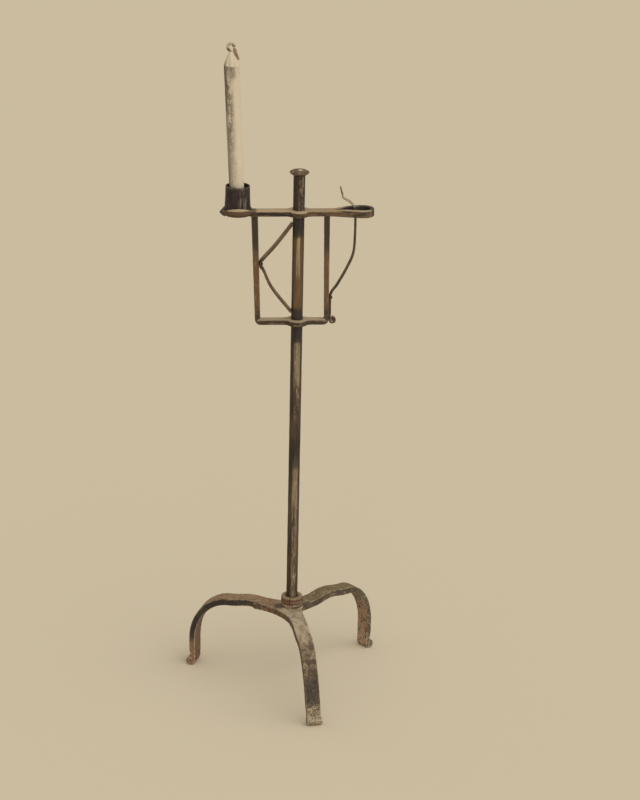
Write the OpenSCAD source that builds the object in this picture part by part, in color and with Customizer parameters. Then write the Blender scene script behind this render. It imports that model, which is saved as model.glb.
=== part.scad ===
// Wrought-iron standing light: a tripod carries a round shaft, and on the shaft a sliding head
// holds a candle in a socket on one side and a splint in a sprung jaw on the other.
// Millimetres, +Z up, +X along the head's crossbar towards the jaw. The floor is z = 0, and the
// origin is the middle of the footprint's box, so the shaft stands a little to one side of it.

/* [Shaft] */
// Height of the top of the shaft's rim above the floor
stand_h = 722; // [600:1:850]
// Diameter of the round shaft
shaft_d = 15.3; // [12:0.1:17]
// Diameter of the upset head on the shaft
knob_d = 25.4; // [22:0.1:32]
// Height of the rounded rim of that head
knob_rim_h = 2.8; // [2:0.1:6]
// Height of the flare below the rim
knob_flare_h = 3.5; // [2:0.5:12]
// Height of the low dome above the rim
knob_dome_h = 2.4; // [1:0.1:5]
// Rounding of the rim's edges
knob_edge = 1; // [0.5:0.1:1.2]
// Diameter of the tenon that passes down through the hub
tenon_d = 10.4; // [7:0.1:11]
// Diameter of the peened end under the hub
peen_d = 17; // [14:0.5:20]
// Height of the peened end
peen_h = 3.6; // [2:0.1:6]

/* [Tripod] */
// Radius from the shaft's axis to the middle of the bar of each foot
foot_r = 140.5; // [120:0.5:180]
// Height of the upper face of the lower hub plate
hub_z = 108.8; // [90:0.1:140]
// Direction of the left leg, seen from above
leg_turn = 158.7; // [150:0.1:170]
// Width of a leg beside the hub
leg_w = 22; // [18:0.5:24]
// Width of a leg at the foot
leg_foot_w = 19; // [16:0.1:20]
// Thickness of a leg beside the hub
leg_t = 9.4; // [6:0.1:10]
// Thickness of a leg at the foot
leg_foot_t = 8.2; // [5:0.1:9]
// Radius at which the arch of a leg is highest
arch_r = 96; // [85:1:105]
// How much nearer to the shaft the left leg's arch is highest
left_arch_in = 7; // [0:0.5:12]
// Height of the top of every leg's arch above the floor
arch_z = 107.8; // [90:0.1:125]
// Extra rise of each leg between its level part and the top of its arch
arch_hump = 3; // [0:0.1:5]
// Further rise of the single leg there
right_hump = 1.5; // [0:0.1:3]
// Height of the curved shoulder between the arch and the straight foot
shoulder_drop = 62; // [45:1:80]
// Diameter of the rolled toe
toe_d = 12.8; // [10:0.1:16]
// Length of the rolled toe along its own axis
toe_w = 20.6; // [16:0.1:24]
// How much wider the left leg's foot and toe are
left_flare = 7; // [0:0.5:9]
// Depth of the worn flat under each toe
toe_flat = 0.4; // [0.2:0.1:1]
// Diameter of the hub plates
hub_d = 31; // [26:0.5:36]
// Thickness of the single leg's eye
eye_t = 4.6; // [3:0.1:8]
// Length of the step in the single leg beside its eye
step_l = 8; // [5:0.5:12]
// Radius of the blend between the two legs of the bent bar
crotch_r = 80; // [15:1:100]
// Sideways bow of the front leg towards the left one
front_bow = 5; // [0:0.5:6]
// How much further the single leg reaches than the other two
right_reach = 2; // [0:0.5:5]

/* [Collar] */
// Diameter of the thin washer
washer_d = 27; // [23:0.5:32]
// Thickness of the thin washer
washer_t = 1.5; // [1:0.1:4]
// Diameter of the wrapped collar
collar_d = 29.4; // [24:0.1:34]
// Height of the wrapped collar
collar_h = 9; // [6:0.1:20]
// Width of the open seam in the collar
collar_seam = 0.8; // [0.4:0.1:2]
// Direction that the collar's seam faces
collar_seam_turn = 250; // [180:1:300]

/* [Head] */
// Distance from the shaft's rim down to the crossbar's middle, as the photograph has it set
head_set = 55; // [30:1:160]
// Width of the crossbar, front to back
bar_w = 12; // [9:0.5:16]
// Height of the crossbar
bar_h = 7.8; // [6:0.1:10]
// Diameter of the crossbar's eye round the shaft
bar_eye_d = 28; // [24:0.5:34]
// Distance from the crossbar's middle down to the lower bar's middle
head_drop = 147.4; // [140:0.1:200]
// Distance from the shaft's axis to the candle socket's axis
socket_x = 79; // [70:0.5:100]
// Radius of the pan below the socket
pan_r = 21; // [18.5:0.5:24]
// Thickness of the pan
pan_t = 6; // [3:0.1:7]
// Length of the pointed tip beyond the pan's round edge
pan_tip = 2; // [0.5:0.1:6]
// Height of the pan's upturned lips, in front of the socket and behind it
pan_lip_h = 6; // [2:0.5:8]
// Thickness of the pan's lips
pan_lip_t = 2.4; // [1.5:0.1:3]
// Distance from the shaft's axis to where the splint loop starts
loop_x = 44; // [41:0.5:50]
// Distance from the shaft's axis to the end of the splint loop
loop_end_x = 97.5; // [90:0.5:120]
// Depth of the splint loop at its round end
loop_w = 30; // [22:0.5:34]
// Thickness of the strap round the splint loop
strap_t = 4.5; // [3:0.1:6]
// Height of the strap round the splint loop, up from the bar's underside
strap_h = 9.6; // [6:0.1:13]

/* [Yoke] */
// Distance from the shaft's axis to the candle side's upright, at its top
left_top_x = 57; // [50:0.5:57.5]
// Distance from the shaft's axis to the candle side's upright, at its foot
left_foot_x = 51.7; // [44:0.1:56]
// Distance from the shaft's axis to the jaw side's upright, at its top
right_top_x = 36.7; // [30:0.1:38]
// Distance from the shaft's axis to the jaw side's upright, at its foot
right_foot_x = 38.6; // [30:0.1:40]
// Thickness of an upright at its top
upright_top_t = 7; // [5:0.1:9]
// Thickness of an upright at its foot
upright_foot_t = 5.7; // [4:0.1:7]
// How much thicker the candle side's upright is
left_more = 1; // [0:0.1:1.5]
// Depth of the uprights, front to back
upright_w = 6.4; // [5:0.1:9]
// Height of the lower bar
low_bar_h = 6.6; // [4:0.1:7.5]
// Width of the lower bar, front to back
low_bar_w = 12; // [8:0.5:13]
// Diameter of the lower bar's eye round the shaft
low_eye_d = 29; // [24:0.5:34]
// Height of the lower bar's eye
low_eye_h = 8; // [7.5:0.5:12]
// Diameter of the tenons that hold the yoke in the crossbar
yoke_tenon_d = 4.6; // [3:0.1:4.8]

/* [Friction spring] */
// Thickness of the spring leaf
spring_t = 3.4; // [1.5:0.1:4]
// Width of the spring leaf
spring_w = 10; // [5:0.5:11]
// Distance from the crossbar's middle down to the spring's upper end
spring_top = 14; // [10:0.5:20]
// Distance from the crossbar's middle down to the spring's bend
spring_mid = 69; // [60:0.5:80]
// Distance from the crossbar's middle down to the spring's lower end
spring_low = 134; // [110:0.5:138]
// Outward bow of the spring's lower arm
spring_bow = 5; // [0:0.1:6]
// Length of the spring's bend that lies along the upright
spring_flat = 6; // [6:0.5:14]

/* [Candle socket] */
// Diameter of the socket at its foot
socket_foot_d = 34; // [32:0.1:35]
// Diameter of the socket at its rim
socket_rim_d = 31.6; // [29:0.1:34]
// Height of the socket
socket_h = 32.5; // [20:0.5:45]
// Thickness of the rolled sheet
socket_wall = 1.5; // [0.8:0.1:2.2]
// Width of the open seam in the socket
socket_seam = 0.8; // [0.4:0.1:2]
// Direction that the socket's seam faces
socket_seam_turn = 75; // [30:1:120]

/* [Jaw] */
// Thickness of the jaw strip
jaw_t = 2.7; // [1.5:0.1:3.2]
// Width of the jaw strip
jaw_w = 6; // [4:0.5:8]
// Distance from the crossbar's middle down to the jaw's rivet
jaw_rivet_drop = 115; // [105:0.5:120]
// Distance from the jaw's rivet down to the middle of its rolled end
jaw_tail = 30.5; // [26:0.5:31]
// Distance from the shaft's axis to the strip where it passes through the loop
jaw_x = 73.5; // [66:0.5:76]
// Height of the jaw's finger end above the crossbar's middle
jaw_tip_h = 34.5; // [28:0.5:45]
// Diameter of the jaw's rolled end
jaw_roll_d = 9.6; // [7:0.1:11]

/* [Rivets] */
// Diameter of the rivet that holds the spring's bend
spring_rivet_d = 3; // [2:0.1:4]
// Diameter of the rivet that holds the jaw
jaw_rivet_d = 3; // [2:0.1:3.6]
// Diameter of the rivet that holds the socket on its pan
socket_rivet_d = 4.5; // [3:0.1:6]
// Height of a small rivet's head
rivet_head_h = 1.2; // [0.6:0.1:2]
// Height of the rivet's head inside the socket
socket_head_h = 1.5; // [1:0.1:3]

/* [Candle] */
// Diameter of the candle at its foot
candle_foot_d = 19.3; // [14:0.1:21]
// Diameter of the candle at its shoulder
candle_top_d = 20; // [14:0.1:21]
// Length of the candle up to its shoulder
candle_h = 185.5; // [60:0.5:260]
// Height of the cone above the shoulder
candle_cone_h = 17; // [8:0.5:30]
// Diameter of the cone's blunt tip
candle_tip_d = 4.8; // [4:0.1:8]
// Lean of the candle away from the shaft, in degrees
candle_lean = 2.8; // [0:0.1:3]
// Diameter of the wick
wick_d = 3.2; // [1.5:0.1:3.5]
// Radius of the loop at the top of the wick
wick_loop_r = 4.4; // [3:0.1:6]
// Length of the wick's loose end below the loop's middle
wick_tail = 17; // [5:0.5:22]
// Lean of the wick's loose end away from the candle, in degrees
wick_tail_lean = 18; // [14:1:40]

/* [Fits] */
// Radial clearance of the tenon and shaft where they turn in the base
turn_gap = 0.06; // [0.02:0.01:0.1]
// Radial clearance of the shaft in the head's eyes
slide_gap = 0.3; // [0.1:0.05:0.6]
// Clearance between pieces that rest or press on each other
seat_gap = 0.1; // [0.05:0.05:0.3]
// Clearance of a rivet or tenon in a hole that it fills
rivet_gap = 0.04; // [0.02:0.01:0.08]
// Clearance of the jaw round its rivet and beside its upright
jaw_gap = 0.3; // [0.25:0.05:0.6]

/* [Hidden] */

$fn = 64;
// Steps along each curved stretch of an outline
steps = 12;
// Extra length of a cut beyond the faces that it leaves
over = 1;

// Colours as painted in the photograph
iron_dark = "#3b3128";
iron_brown = "#5f4a36";
iron_olive = "#6e664c";
iron_grey = "#8a8168";
soot = "#241c1a";
wax = "#d9cfb2";
cord = "#8f7a5c";

// Directions of the three legs
front_turn = leg_turn + 120;
right_turn = leg_turn - 120;

// The single leg's eye is a little smaller than the plate under it
eye_d = hub_d - 2;

// Heights of the hub's pieces, from the lower plate up
lower_plate_z = hub_z - leg_t;
eye_z = hub_z;
washer_z = eye_z + eye_t;
shoulder_z = washer_z + washer_t;
collar_top_z = shoulder_z + collar_h;

// How far the blend runs along the two legs that it joins
crotch_l = (leg_w / 2 + crotch_r) / tan(60);

// The toes: rolled outwards, level with the inner face of the bar
toe_r = foot_r - leg_foot_t / 2 + toe_d / 2;
toe_z = toe_d / 2 - toe_flat;
toe_out = toe_r + toe_d / 2;

// How far the footprint reaches along a direction, and the shift that centres its box
function leg_reach(turn, more, flare, way) =
    (toe_out + more) * cos(turn - way) + (toe_w + flare) / 2 * abs(sin(turn - way));
function reach(way) = max(leg_reach(leg_turn, 0, left_flare, way),
    leg_reach(front_turn, 0, 0, way), leg_reach(right_turn, right_reach, 0, way));
axis_x = (reach(180) - reach(0)) / 2;
axis_y = (reach(270) - reach(90)) / 2;

// The head's levels, from the middle of its crossbar
head_z = stand_h - head_set;
bar_top = head_z + bar_h / 2;
bar_low = head_z - bar_h / 2;
low_z = head_z - head_drop;
low_bar_top = low_z + low_bar_h / 2;
eye_hole_d = shaft_d + 2 * slide_gap;

// The bar runs a little way into the pan and into the loop
bar_root = 4;
bar_left = socket_x - pan_r + bar_root;
bar_right = loop_x + bar_root / 2;

// The pan's lips stand clear of the socket, and run out before the pan's tip and the bar. Their
// top edge is a long arc, so it has more steps than the other curves.
lip_in_r = max(pan_r - pan_lip_t, socket_foot_d / 2 + seat_gap);
lip_stop = 2;
lip_run = pan_r - lip_stop;
lip_barrel_r = (pow(lip_run, 2) + pow(pan_lip_h, 2)) / (2 * pan_lip_h);
lip_steps = 160;

// The upset head of the shaft
rim_z = stand_h - knob_rim_h;

// The loop at the crossbar's end: a drop shape round a drop-shaped slot
loop_r = loop_w / 2;
loop_cx = loop_end_x - loop_r;
slot_r = loop_r - strap_t;
slot_tip_x = loop_x + strap_t;

// The candle socket and what stands in it
pan_top = bar_top;
socket_floor_z = pan_top + socket_wall;
socket_head_d = 2 * socket_rivet_d;
candle_z = socket_floor_z + socket_head_h + seat_gap;
wick_bore_d = wick_d + 2 * rivet_gap;

// The yoke's uprights: middle and half thickness at a height
function upright_share(z) = (bar_low - z) / (bar_low - low_z);
function upright_half(z, more = 0) =
    (upright_top_t + more + (upright_foot_t - upright_top_t) * upright_share(z)) / 2;
function left_x(z) = left_top_x + (left_foot_x - left_top_x) * upright_share(z);
function right_x(z) = right_top_x + (right_foot_x - right_top_x) * upright_share(z);

// The wide end of a small rivet's head
function rivet_head_d(d) = 5 / 3 * d;

// The jaw: its rivet, its straight tail beside the upright and its rolled end
jaw_rivet_z = head_z - jaw_rivet_drop;
jaw_roll_z = jaw_rivet_z - jaw_tail;
jaw_roll_r = (jaw_roll_d - jaw_t) / 2;
jaw_roll_turn = 280;
jaw_tail_flat = 14;
jaw_tail_x = max(right_x(low_z) + upright_half(low_z), right_x(jaw_rivet_z)
    + upright_half(jaw_rivet_z)) + jaw_gap + jaw_t / 2;

// The jaw's bow, as shares of its reach and heights over the rivet, and then its finger, as
// distances back towards the shaft and heights over the crossbar's middle
jaw_bow = [[0.006, 3.5], [0.1, 10], [0.31, 19], [0.71, 42], [0.95, 61], [1, 84]];
jaw_finger = [[0, -7], [0.5, 4], [6.5, 13.5], [16, 19.5], [17.5, 24]];
jaw_reach = 20.5;

// The spring: its bend lies along the candle side's upright, and turns away from it at both ends
spring_mid_z = head_z - spring_mid;
spring_end_x = -shaft_d / 2 - slide_gap;
spring_turn = 3.7;
spring_slope = 1.4;
function spring_seat_x(z) =
    -left_x(z) + upright_half(z, left_more) + seat_gap + spring_t / 2;
function spring_bend(rise) = [spring_seat_x(spring_mid_z + rise) + spring_turn / 6,
    spring_mid_z + rise];
function spring_leave(way) = spring_bend(way * spring_flat / 2)
    + [spring_turn, way * spring_slope * spring_turn];

// Points on a smooth curve through a list of points
function spline_point(p, i, t) =
    let(n = len(p), a = p[max(i - 1, 0)], b = p[i], c = p[i + 1], d = p[min(i + 2, n - 1)])
    ((-a + 3 * b - 3 * c + d) * pow(t, 3) + (2 * a - 5 * b + 4 * c - d) * pow(t, 2)
    + (c - a) * t + 2 * b) / 2;
function spline(p, n) = concat(
    [for (i = [0 : len(p) - 2], k = [0 : n - 1]) spline_point(p, i, k / n)], [p[len(p) - 1]]);

// The direction of a path at one of its points, and the outline of a strip that follows it
function unit(v) = v / norm(v);
function heading(p, i) = unit(p[min(i + 1, len(p) - 1)] - p[max(i - 1, 0)]);
function side(v) = [-v[1], v[0]];
function strip(p, t) =
    let(n = len(p) - 1)
    concat([for (i = [0 : n]) p[i] + t[i] / 2 * side(heading(p, i))],
        [for (i = [n : -1 : 0]) p[i] - t[i] / 2 * side(heading(p, i))]);
function same(p, t) = [for (q = p) t];

// The middle line of a leg, as radius and height: level out of the hub, down by a step beside it,
// level again, over the arch and down to the toe. A point a little before the arch keeps the
// underside flat up to there.
level_lead = 4;
function leg_line(top_z, hub_t, step, level_r, peak_r, hump) =
    let(z0 = top_z - hub_t / 2, z1 = top_z - step - leg_t / 2, z2 = arch_z - leg_t / 2)
    concat([[0, z0]],
        [for (k = [0 : steps]) [hub_d / 2 + seat_gap + step_l * k / steps,
            z0 + (z1 - z0) * (1 - cos(180 * k / steps)) / 2]],
        [[level_r - level_lead, z1]],
        [for (k = [0 : steps]) [level_r + (peak_r - level_r) * k / steps,
            z1 + (z2 - z1) * (1 - cos(180 * k / steps)) / 2
                + hump * pow(sin(180 * k / steps), 2)]],
        [for (k = [1 : steps]) [peak_r + (foot_r - peak_r) * sin(90 * k / steps),
            z2 - shoulder_drop * (1 - cos(90 * k / steps))]],
        [[foot_r, toe_z]]);

// The thickness along that line: full once it is past the step, and thinning from the top of
// the arch to the foot
function leg_thickness(hub_t) = concat([hub_t],
    [for (k = [0 : steps]) hub_t + (leg_t - hub_t) * k / steps],
    [for (k = [-1 : steps]) leg_t],
    [for (k = [1 : steps]) leg_t + (leg_foot_t - leg_t) * k / steps],
    [leg_foot_t]);

// One edge of a leg seen from above. A bowed leg ends a little to one side of its toe's middle,
// and a flared one spreads only towards its foot.
bow_arc = 160;
flare_power = 4;
function leg_bow(bow, share) = bow * sin(bow_arc * share);
function leg_half(flare, share) =
    (leg_w + (leg_foot_w - leg_w) * share + flare * pow(share, flare_power)) / 2;
function leg_edge(hand, bow, flare) = concat([for (k = [0 : steps]) [foot_r * k / steps,
    hand * leg_half(flare, k / steps) - leg_bow(bow, k / steps)]],
    [[toe_out, hand * leg_half(flare, 1) - leg_bow(bow, 1)]]);

// One leg with its rolled toe, running along +X
module leg(top_z, hub_t, step, level_r, peak_r, hump, bow = 0, flare = 0) {
    intersection() {
        rotate([90, 0, 0])
            linear_extrude(2 * leg_w, center = true)
                polygon(strip(leg_line(top_z, hub_t, step, level_r, peak_r, hump),
                    leg_thickness(hub_t)));
        linear_extrude(2 * top_z)
            polygon(concat(leg_edge(-1, bow, flare),
                [for (k = [steps + 1 : -1 : 0]) leg_edge(1, bow, flare)[k]]));
    }
    difference() {
        translate([toe_r, 0, toe_z])
            rotate([90, 0, 0])
                cylinder(d = toe_d, h = toe_w + flare, center = true);
        translate([toe_r, 0, -toe_d])
            cube([2 * toe_d, 2 * (toe_w + flare), 2 * toe_d], center = true);
    }
}

// Everything is drawn round the shaft's axis and then set beside the origin
module placed() {
    translate([axis_x, axis_y, 0])
        children();
}

module tenon_hole() {
    cylinder(d = tenon_d + 2 * turn_gap, h = 2 * collar_top_z, center = true);
}

// The blend in the crook of the two legs of the bent bar
module crotch() {
    middle = (leg_w / 2 + crotch_r) / sin(60);
    x = crotch_l * cos(60) + leg_w / 2 * sin(60);
    y = crotch_l * sin(60) - leg_w / 2 * cos(60);
    difference() {
        polygon([[0, 0], [x, y], [middle, 0], [x, -y]]);
        translate([middle, 0])
            circle(r = crotch_r);
    }
}

// The plate is turned by the same steps as the legs, so that their faces lie in one plane
module leg_pair() {
    color(iron_olive)
        placed()
            difference() {
                rotate(leg_turn + 60)
                    union() {
                        rotate(-60)
                            leg(hub_z, leg_t, 0, crotch_l, arch_r - left_arch_in, arch_hump,
                                flare = left_flare);
                        rotate(60)
                            leg(hub_z, leg_t, 0, crotch_l, arch_r, arch_hump, bow = front_bow);
                        rotate(60)
                            translate([0, 0, lower_plate_z])
                                linear_extrude(leg_t) {
                                    circle(d = hub_d);
                                    rotate(-60)
                                        crotch();
                                }
                    }
                tenon_hole();
            }
}

// The single leg's shoulder fills the room under the leg's step, and hugs the lower plate
module shoulder() {
    inner = hub_d / 4;
    start = hub_d / 2 + seat_gap;
    end = start + step_l + right_reach;
    difference() {
        rotate([90, 0, 0])
            linear_extrude(leg_w, center = true)
                polygon([[inner, lower_plate_z], [inner, eye_z + eye_t / 2],
                    [start, eye_z + eye_t / 2], [end, hub_z - leg_t / 2], [end, lower_plate_z]]);
        translate([0, 0, lower_plate_z - over])
            cylinder(d = hub_d + 2 * seat_gap, h = leg_t + over);
    }
}

module right_leg() {
    color(iron_grey)
        placed()
            difference() {
                union() {
                    rotate(right_turn) {
                        translate([right_reach, 0, 0])
                            leg(eye_z + eye_t, eye_t, eye_t, hub_d / 2 + 2 * step_l, arch_r,
                                arch_hump + right_hump);
                        shoulder();
                    }
                    translate([0, 0, eye_z])
                        cylinder(d = eye_d, h = eye_t);
                }
                tenon_hole();
            }
}

module hub_washer() {
    color(iron_brown)
        placed()
            translate([0, 0, washer_z])
                difference() {
                    cylinder(d = washer_d, h = washer_t);
                    tenon_hole();
                }
}

module collar() {
    color(iron_brown)
        placed()
            translate([0, 0, shoulder_z])
                difference() {
                    cylinder(d = collar_d, h = collar_h);
                    translate([0, 0, -over])
                        cylinder(d = shaft_d + 2 * turn_gap, h = collar_h + 2 * over);
                    rotate(collar_seam_turn)
                        translate([0, -collar_seam / 2, -over])
                            cube([collar_d, collar_seam, collar_h + 2 * over]);
                }
}

module shaft() {
    color(iron_dark)
        placed()
            rotate_extrude()
                polygon([[0, lower_plate_z - peen_h], [peen_d / 4, lower_plate_z - peen_h],
                    [peen_d / 2, lower_plate_z - peen_h / 2],
                    [peen_d / 2, lower_plate_z - seat_gap], [tenon_d / 2, lower_plate_z - seat_gap],
                    [tenon_d / 2, shoulder_z + seat_gap], [shaft_d / 2, shoulder_z + seat_gap],
                    [shaft_d / 2, rim_z - knob_flare_h], [knob_d / 2 - knob_edge, rim_z],
                    [knob_d / 2, rim_z + knob_rim_h / 2], [knob_d / 2 - knob_edge, stand_h],
                    [knob_d / 4, stand_h + knob_dome_h * 3 / 4], [0, stand_h + knob_dome_h]]);
}

// A round end with a point towards -X: the pan's outline, and the loop's the other way round
module drop(r, point) {
    turn = acos(r / point);
    circle(r = r);
    polygon([[-point, 0], [-r * cos(turn), r * sin(turn)], [0, 0],
        [-r * cos(turn), -r * sin(turn)]]);
}

module crossbar() {
    color(iron_olive)
        placed()
            difference() {
                union() {
                    translate([0, 0, bar_low])
                        linear_extrude(bar_h) {
                            translate([-bar_left, -bar_w / 2])
                                square([bar_left + bar_right, bar_w]);
                            circle(d = bar_eye_d);
                        }
                    translate([-socket_x, 0, pan_top - pan_t])
                        linear_extrude(pan_t)
                            drop(pan_r, pan_r + pan_tip);
                    pan_lips();
                    translate([0, 0, bar_low])
                        linear_extrude(strap_h)
                            loop_outline();
                }
                cylinder(d = eye_hole_d, h = 2 * stand_h);
                translate([loop_cx, 0, 0])
                    linear_extrude(2 * stand_h)
                        drop(slot_r, loop_cx - slot_tip_x);
                for (x = [-left_top_x, right_top_x])
                    translate([x, 0, 0])
                        cylinder(d = yoke_tenon_d + 2 * rivet_gap, h = 2 * stand_h);
                translate([-socket_x, 0, 0])
                    cylinder(d = socket_rivet_d + 2 * rivet_gap, h = 2 * stand_h);
            }
}

// The pan's edge is turned up in front and behind, highest halfway along
module pan_lips() {
    translate([-socket_x, 0, pan_top - pan_t / 2])
        intersection() {
            difference() {
                cylinder(r = pan_r, h = pan_t / 2 + pan_lip_h);
                translate([0, 0, -over])
                    cylinder(r = lip_in_r, h = pan_t / 2 + pan_lip_h + 2 * over);
            }
            translate([0, 0, pan_t / 2 + pan_lip_h - lip_barrel_r])
                rotate([90, 0, 0])
                    cylinder(r = lip_barrel_r, h = 2 * pan_r + over, center = true,
                        $fn = lip_steps);
        }
}

// The loop's outer outline widens from the bar's own width to its round end
module loop_outline() {
    gap = loop_cx - loop_x;
    far = norm([gap, bar_w / 2]);
    turn = acos(loop_r / far) - atan2(bar_w / 2, gap);
    translate([loop_cx, 0])
        circle(r = loop_r);
    polygon([[loop_x, -bar_w / 2], [loop_cx - loop_r * cos(turn), -loop_r * sin(turn)],
        [loop_cx, 0], [loop_cx - loop_r * cos(turn), loop_r * sin(turn)], [loop_x, bar_w / 2]]);
}

module upright(x_top, x_foot, more) {
    top_half = upright_half(bar_low, more);
    foot_half = upright_half(low_z, more);
    rotate([90, 0, 0])
        linear_extrude(upright_w, center = true)
            polygon([[x_top - top_half, bar_low - seat_gap], [x_foot - foot_half, low_z],
                [x_foot + foot_half, low_z], [x_top + top_half, bar_low - seat_gap]]);
    translate([x_top, 0, bar_low - over])
        cylinder(d = yoke_tenon_d, h = bar_h + over);
}

module yoke() {
    color(iron_brown)
        placed()
            difference() {
                union() {
                    upright(-left_top_x, -left_foot_x, left_more);
                    upright(right_top_x, right_foot_x, 0);
                    translate([-left_foot_x, -low_bar_w / 2, low_z - low_bar_h / 2])
                        cube([left_foot_x + right_foot_x, low_bar_w, low_bar_h]);
                    for (x = [-left_foot_x, right_foot_x])
                        translate([x, 0, low_z])
                            rotate([90, 0, 0])
                                cylinder(d = low_bar_h, h = low_bar_w, center = true);
                    translate([0, 0, low_bar_top - low_eye_h])
                        cylinder(d = low_eye_d, h = low_eye_h);
                }
                cylinder(d = eye_hole_d, h = 2 * stand_h);
                translate([0, 0, spring_mid_z])
                    rotate([0, -90, 0])
                        cylinder(d = spring_rivet_d + 2 * rivet_gap,
                            h = left_top_x + upright_top_t + left_more);
                translate([0, 0, jaw_rivet_z])
                    rotate([0, 90, 0])
                        cylinder(d = jaw_rivet_d + 2 * rivet_gap, h = right_foot_x + upright_top_t);
            }
}

module friction_spring() {
    lean_top = (spring_mid - spring_top) / 2;
    lean_low = (spring_low - spring_mid) / 2;
    middle = (spring_seat_x(spring_mid_z) + spring_end_x) / 2;
    path = spline([[spring_end_x, head_z - spring_top], [middle, spring_mid_z + lean_top],
        spring_leave(1), spring_bend(spring_flat / 2), spring_bend(-spring_flat / 2),
        spring_leave(-1), [middle - spring_bow, spring_mid_z - lean_low],
        [spring_end_x, head_z - spring_low]], 4);
    color(iron_brown)
        placed()
            difference() {
                rotate([90, 0, 0])
                    linear_extrude(spring_w, center = true)
                        polygon(strip(path, same(path, spring_t)));
                cylinder(d = eye_hole_d, h = 2 * stand_h);
                translate([0, 0, spring_mid_z])
                    rotate([0, -90, 0])
                        cylinder(d = spring_rivet_d + 2 * rivet_gap, h = left_top_x);
            }
}

module spring_rivet() {
    head_x = spring_bend(0)[0] + spring_t / 2 + seat_gap;
    tail_x = -left_x(spring_mid_z) - upright_half(spring_mid_z, left_more);
    color(iron_dark)
        placed()
            translate([head_x, 0, spring_mid_z])
                rotate([0, 90, 0]) {
                    cylinder(d1 = rivet_head_d(spring_rivet_d), d2 = spring_rivet_d, h = rivet_head_h);
                    translate([0, 0, tail_x - head_x])
                        cylinder(d = spring_rivet_d, h = head_x - tail_x);
                }
}

module candle_socket() {
    color(soot)
        placed()
            translate([-socket_x, 0, pan_top])
                difference() {
                    cylinder(d1 = socket_foot_d, d2 = socket_rim_d, h = socket_h);
                    translate([0, 0, socket_wall])
                        cylinder(d1 = socket_foot_d - 2 * socket_wall,
                            d2 = socket_rim_d - 2 * socket_wall, h = socket_h);
                    translate([0, 0, -over])
                        cylinder(d = socket_rivet_d + 2 * rivet_gap, h = socket_wall + 2 * over);
                    rotate(socket_seam_turn)
                        translate([socket_rim_d / 4, -socket_seam / 2, socket_wall])
                            cube([socket_foot_d, socket_seam, socket_h]);
                }
}

module socket_rivet() {
    foot_z = pan_top - pan_t;
    color(iron_dark)
        placed()
            translate([-socket_x, 0, 0]) {
                translate([0, 0, foot_z - rivet_head_h])
                    cylinder(d = socket_rivet_d, h = socket_floor_z - foot_z + rivet_head_h + over);
                translate([0, 0, socket_floor_z])
                    cylinder(d = socket_head_d, h = socket_head_h);
                translate([0, 0, foot_z - rivet_head_h])
                    cylinder(d1 = socket_rivet_d, d2 = socket_head_d, h = rivet_head_h);
            }
}

module jaw() {
    roll_x = jaw_tail_x + jaw_roll_r;
    roll = [for (k = [0 : steps]) let(turn = 180 + jaw_roll_turn * (1 - k / steps))
        [roll_x + jaw_roll_r * cos(turn), jaw_roll_z + jaw_roll_r * sin(turn)]];
    bow_x = jaw_x - jaw_tail_x;
    leaf = concat([[jaw_tail_x, jaw_rivet_z - jaw_tail_flat], [jaw_tail_x, jaw_rivet_z]],
        [for (p = jaw_bow) [jaw_tail_x + p[0] * bow_x, jaw_rivet_z + p[1]]],
        [for (p = jaw_finger) [jaw_x - p[0], head_z + p[1]]],
        [[jaw_x - jaw_reach, head_z + jaw_tip_h]]);
    path = concat(roll, spline(leaf, 4));
    color(iron_brown)
        placed()
            difference() {
                rotate([90, 0, 0])
                    linear_extrude(jaw_w, center = true)
                        polygon(strip(path, same(path, jaw_t)));
                translate([0, 0, jaw_rivet_z])
                    rotate([0, 90, 0])
                        cylinder(d = jaw_rivet_d + 2 * jaw_gap, h = jaw_x);
            }
}

module jaw_rivet() {
    tail_x = right_x(jaw_rivet_z) - upright_half(jaw_rivet_z);
    head_x = jaw_tail_x + jaw_t / 2 + jaw_gap;
    color(iron_dark)
        placed()
            translate([tail_x, 0, jaw_rivet_z])
                rotate([0, 90, 0]) {
                    cylinder(d = jaw_rivet_d, h = head_x - tail_x + rivet_head_h / 2);
                    translate([0, 0, head_x - tail_x])
                        cylinder(d1 = rivet_head_d(jaw_rivet_d), d2 = jaw_rivet_d, h = rivet_head_h);
                }
}

// The candle leans away from the shaft in its socket, and its foot is cut level
module leaning() {
    translate([-socket_x, 0, candle_z])
        rotate([0, -candle_lean, 0])
            children();
}

module level_cut() {
    translate([-socket_x, 0, candle_z - candle_top_d])
        cube(2 * candle_top_d, center = true);
}

module candle() {
    sunk = candle_top_d / 8;
    color(wax)
        placed()
            difference() {
                leaning() {
                    translate([0, 0, -sunk])
                        cylinder(d = candle_foot_d, h = sunk);
                    cylinder(d1 = candle_foot_d, d2 = candle_top_d, h = candle_h);
                    translate([0, 0, candle_h])
                        cylinder(d1 = candle_top_d, d2 = candle_tip_d, h = candle_cone_h);
                }
                level_cut();
                leaning()
                    translate([0, 0, -candle_h])
                        cylinder(d = wick_bore_d, h = 3 * candle_h);
            }
}

module wick() {
    tip = candle_h + candle_cone_h;
    loop_z = tip + wick_loop_r + wick_d / 2 + seat_gap;
    color(cord)
        placed()
            difference() {
                leaning() {
                    translate([0, 0, -wick_d])
                        cylinder(d = wick_d, h = tip + wick_d * 1.75 + seat_gap);
                    translate([0, 0, loop_z]) {
                        rotate([90, 0, 0])
                            rotate_extrude(angle = 270)
                                translate([wick_loop_r, 0])
                                    circle(d = wick_d, $fn = 32);
                        translate([wick_loop_r, 0, 0])
                            rotate([0, 180 - wick_tail_lean, 0])
                                cylinder(d = wick_d, h = wick_tail);
                    }
                }
                level_cut();
            }
}

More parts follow.
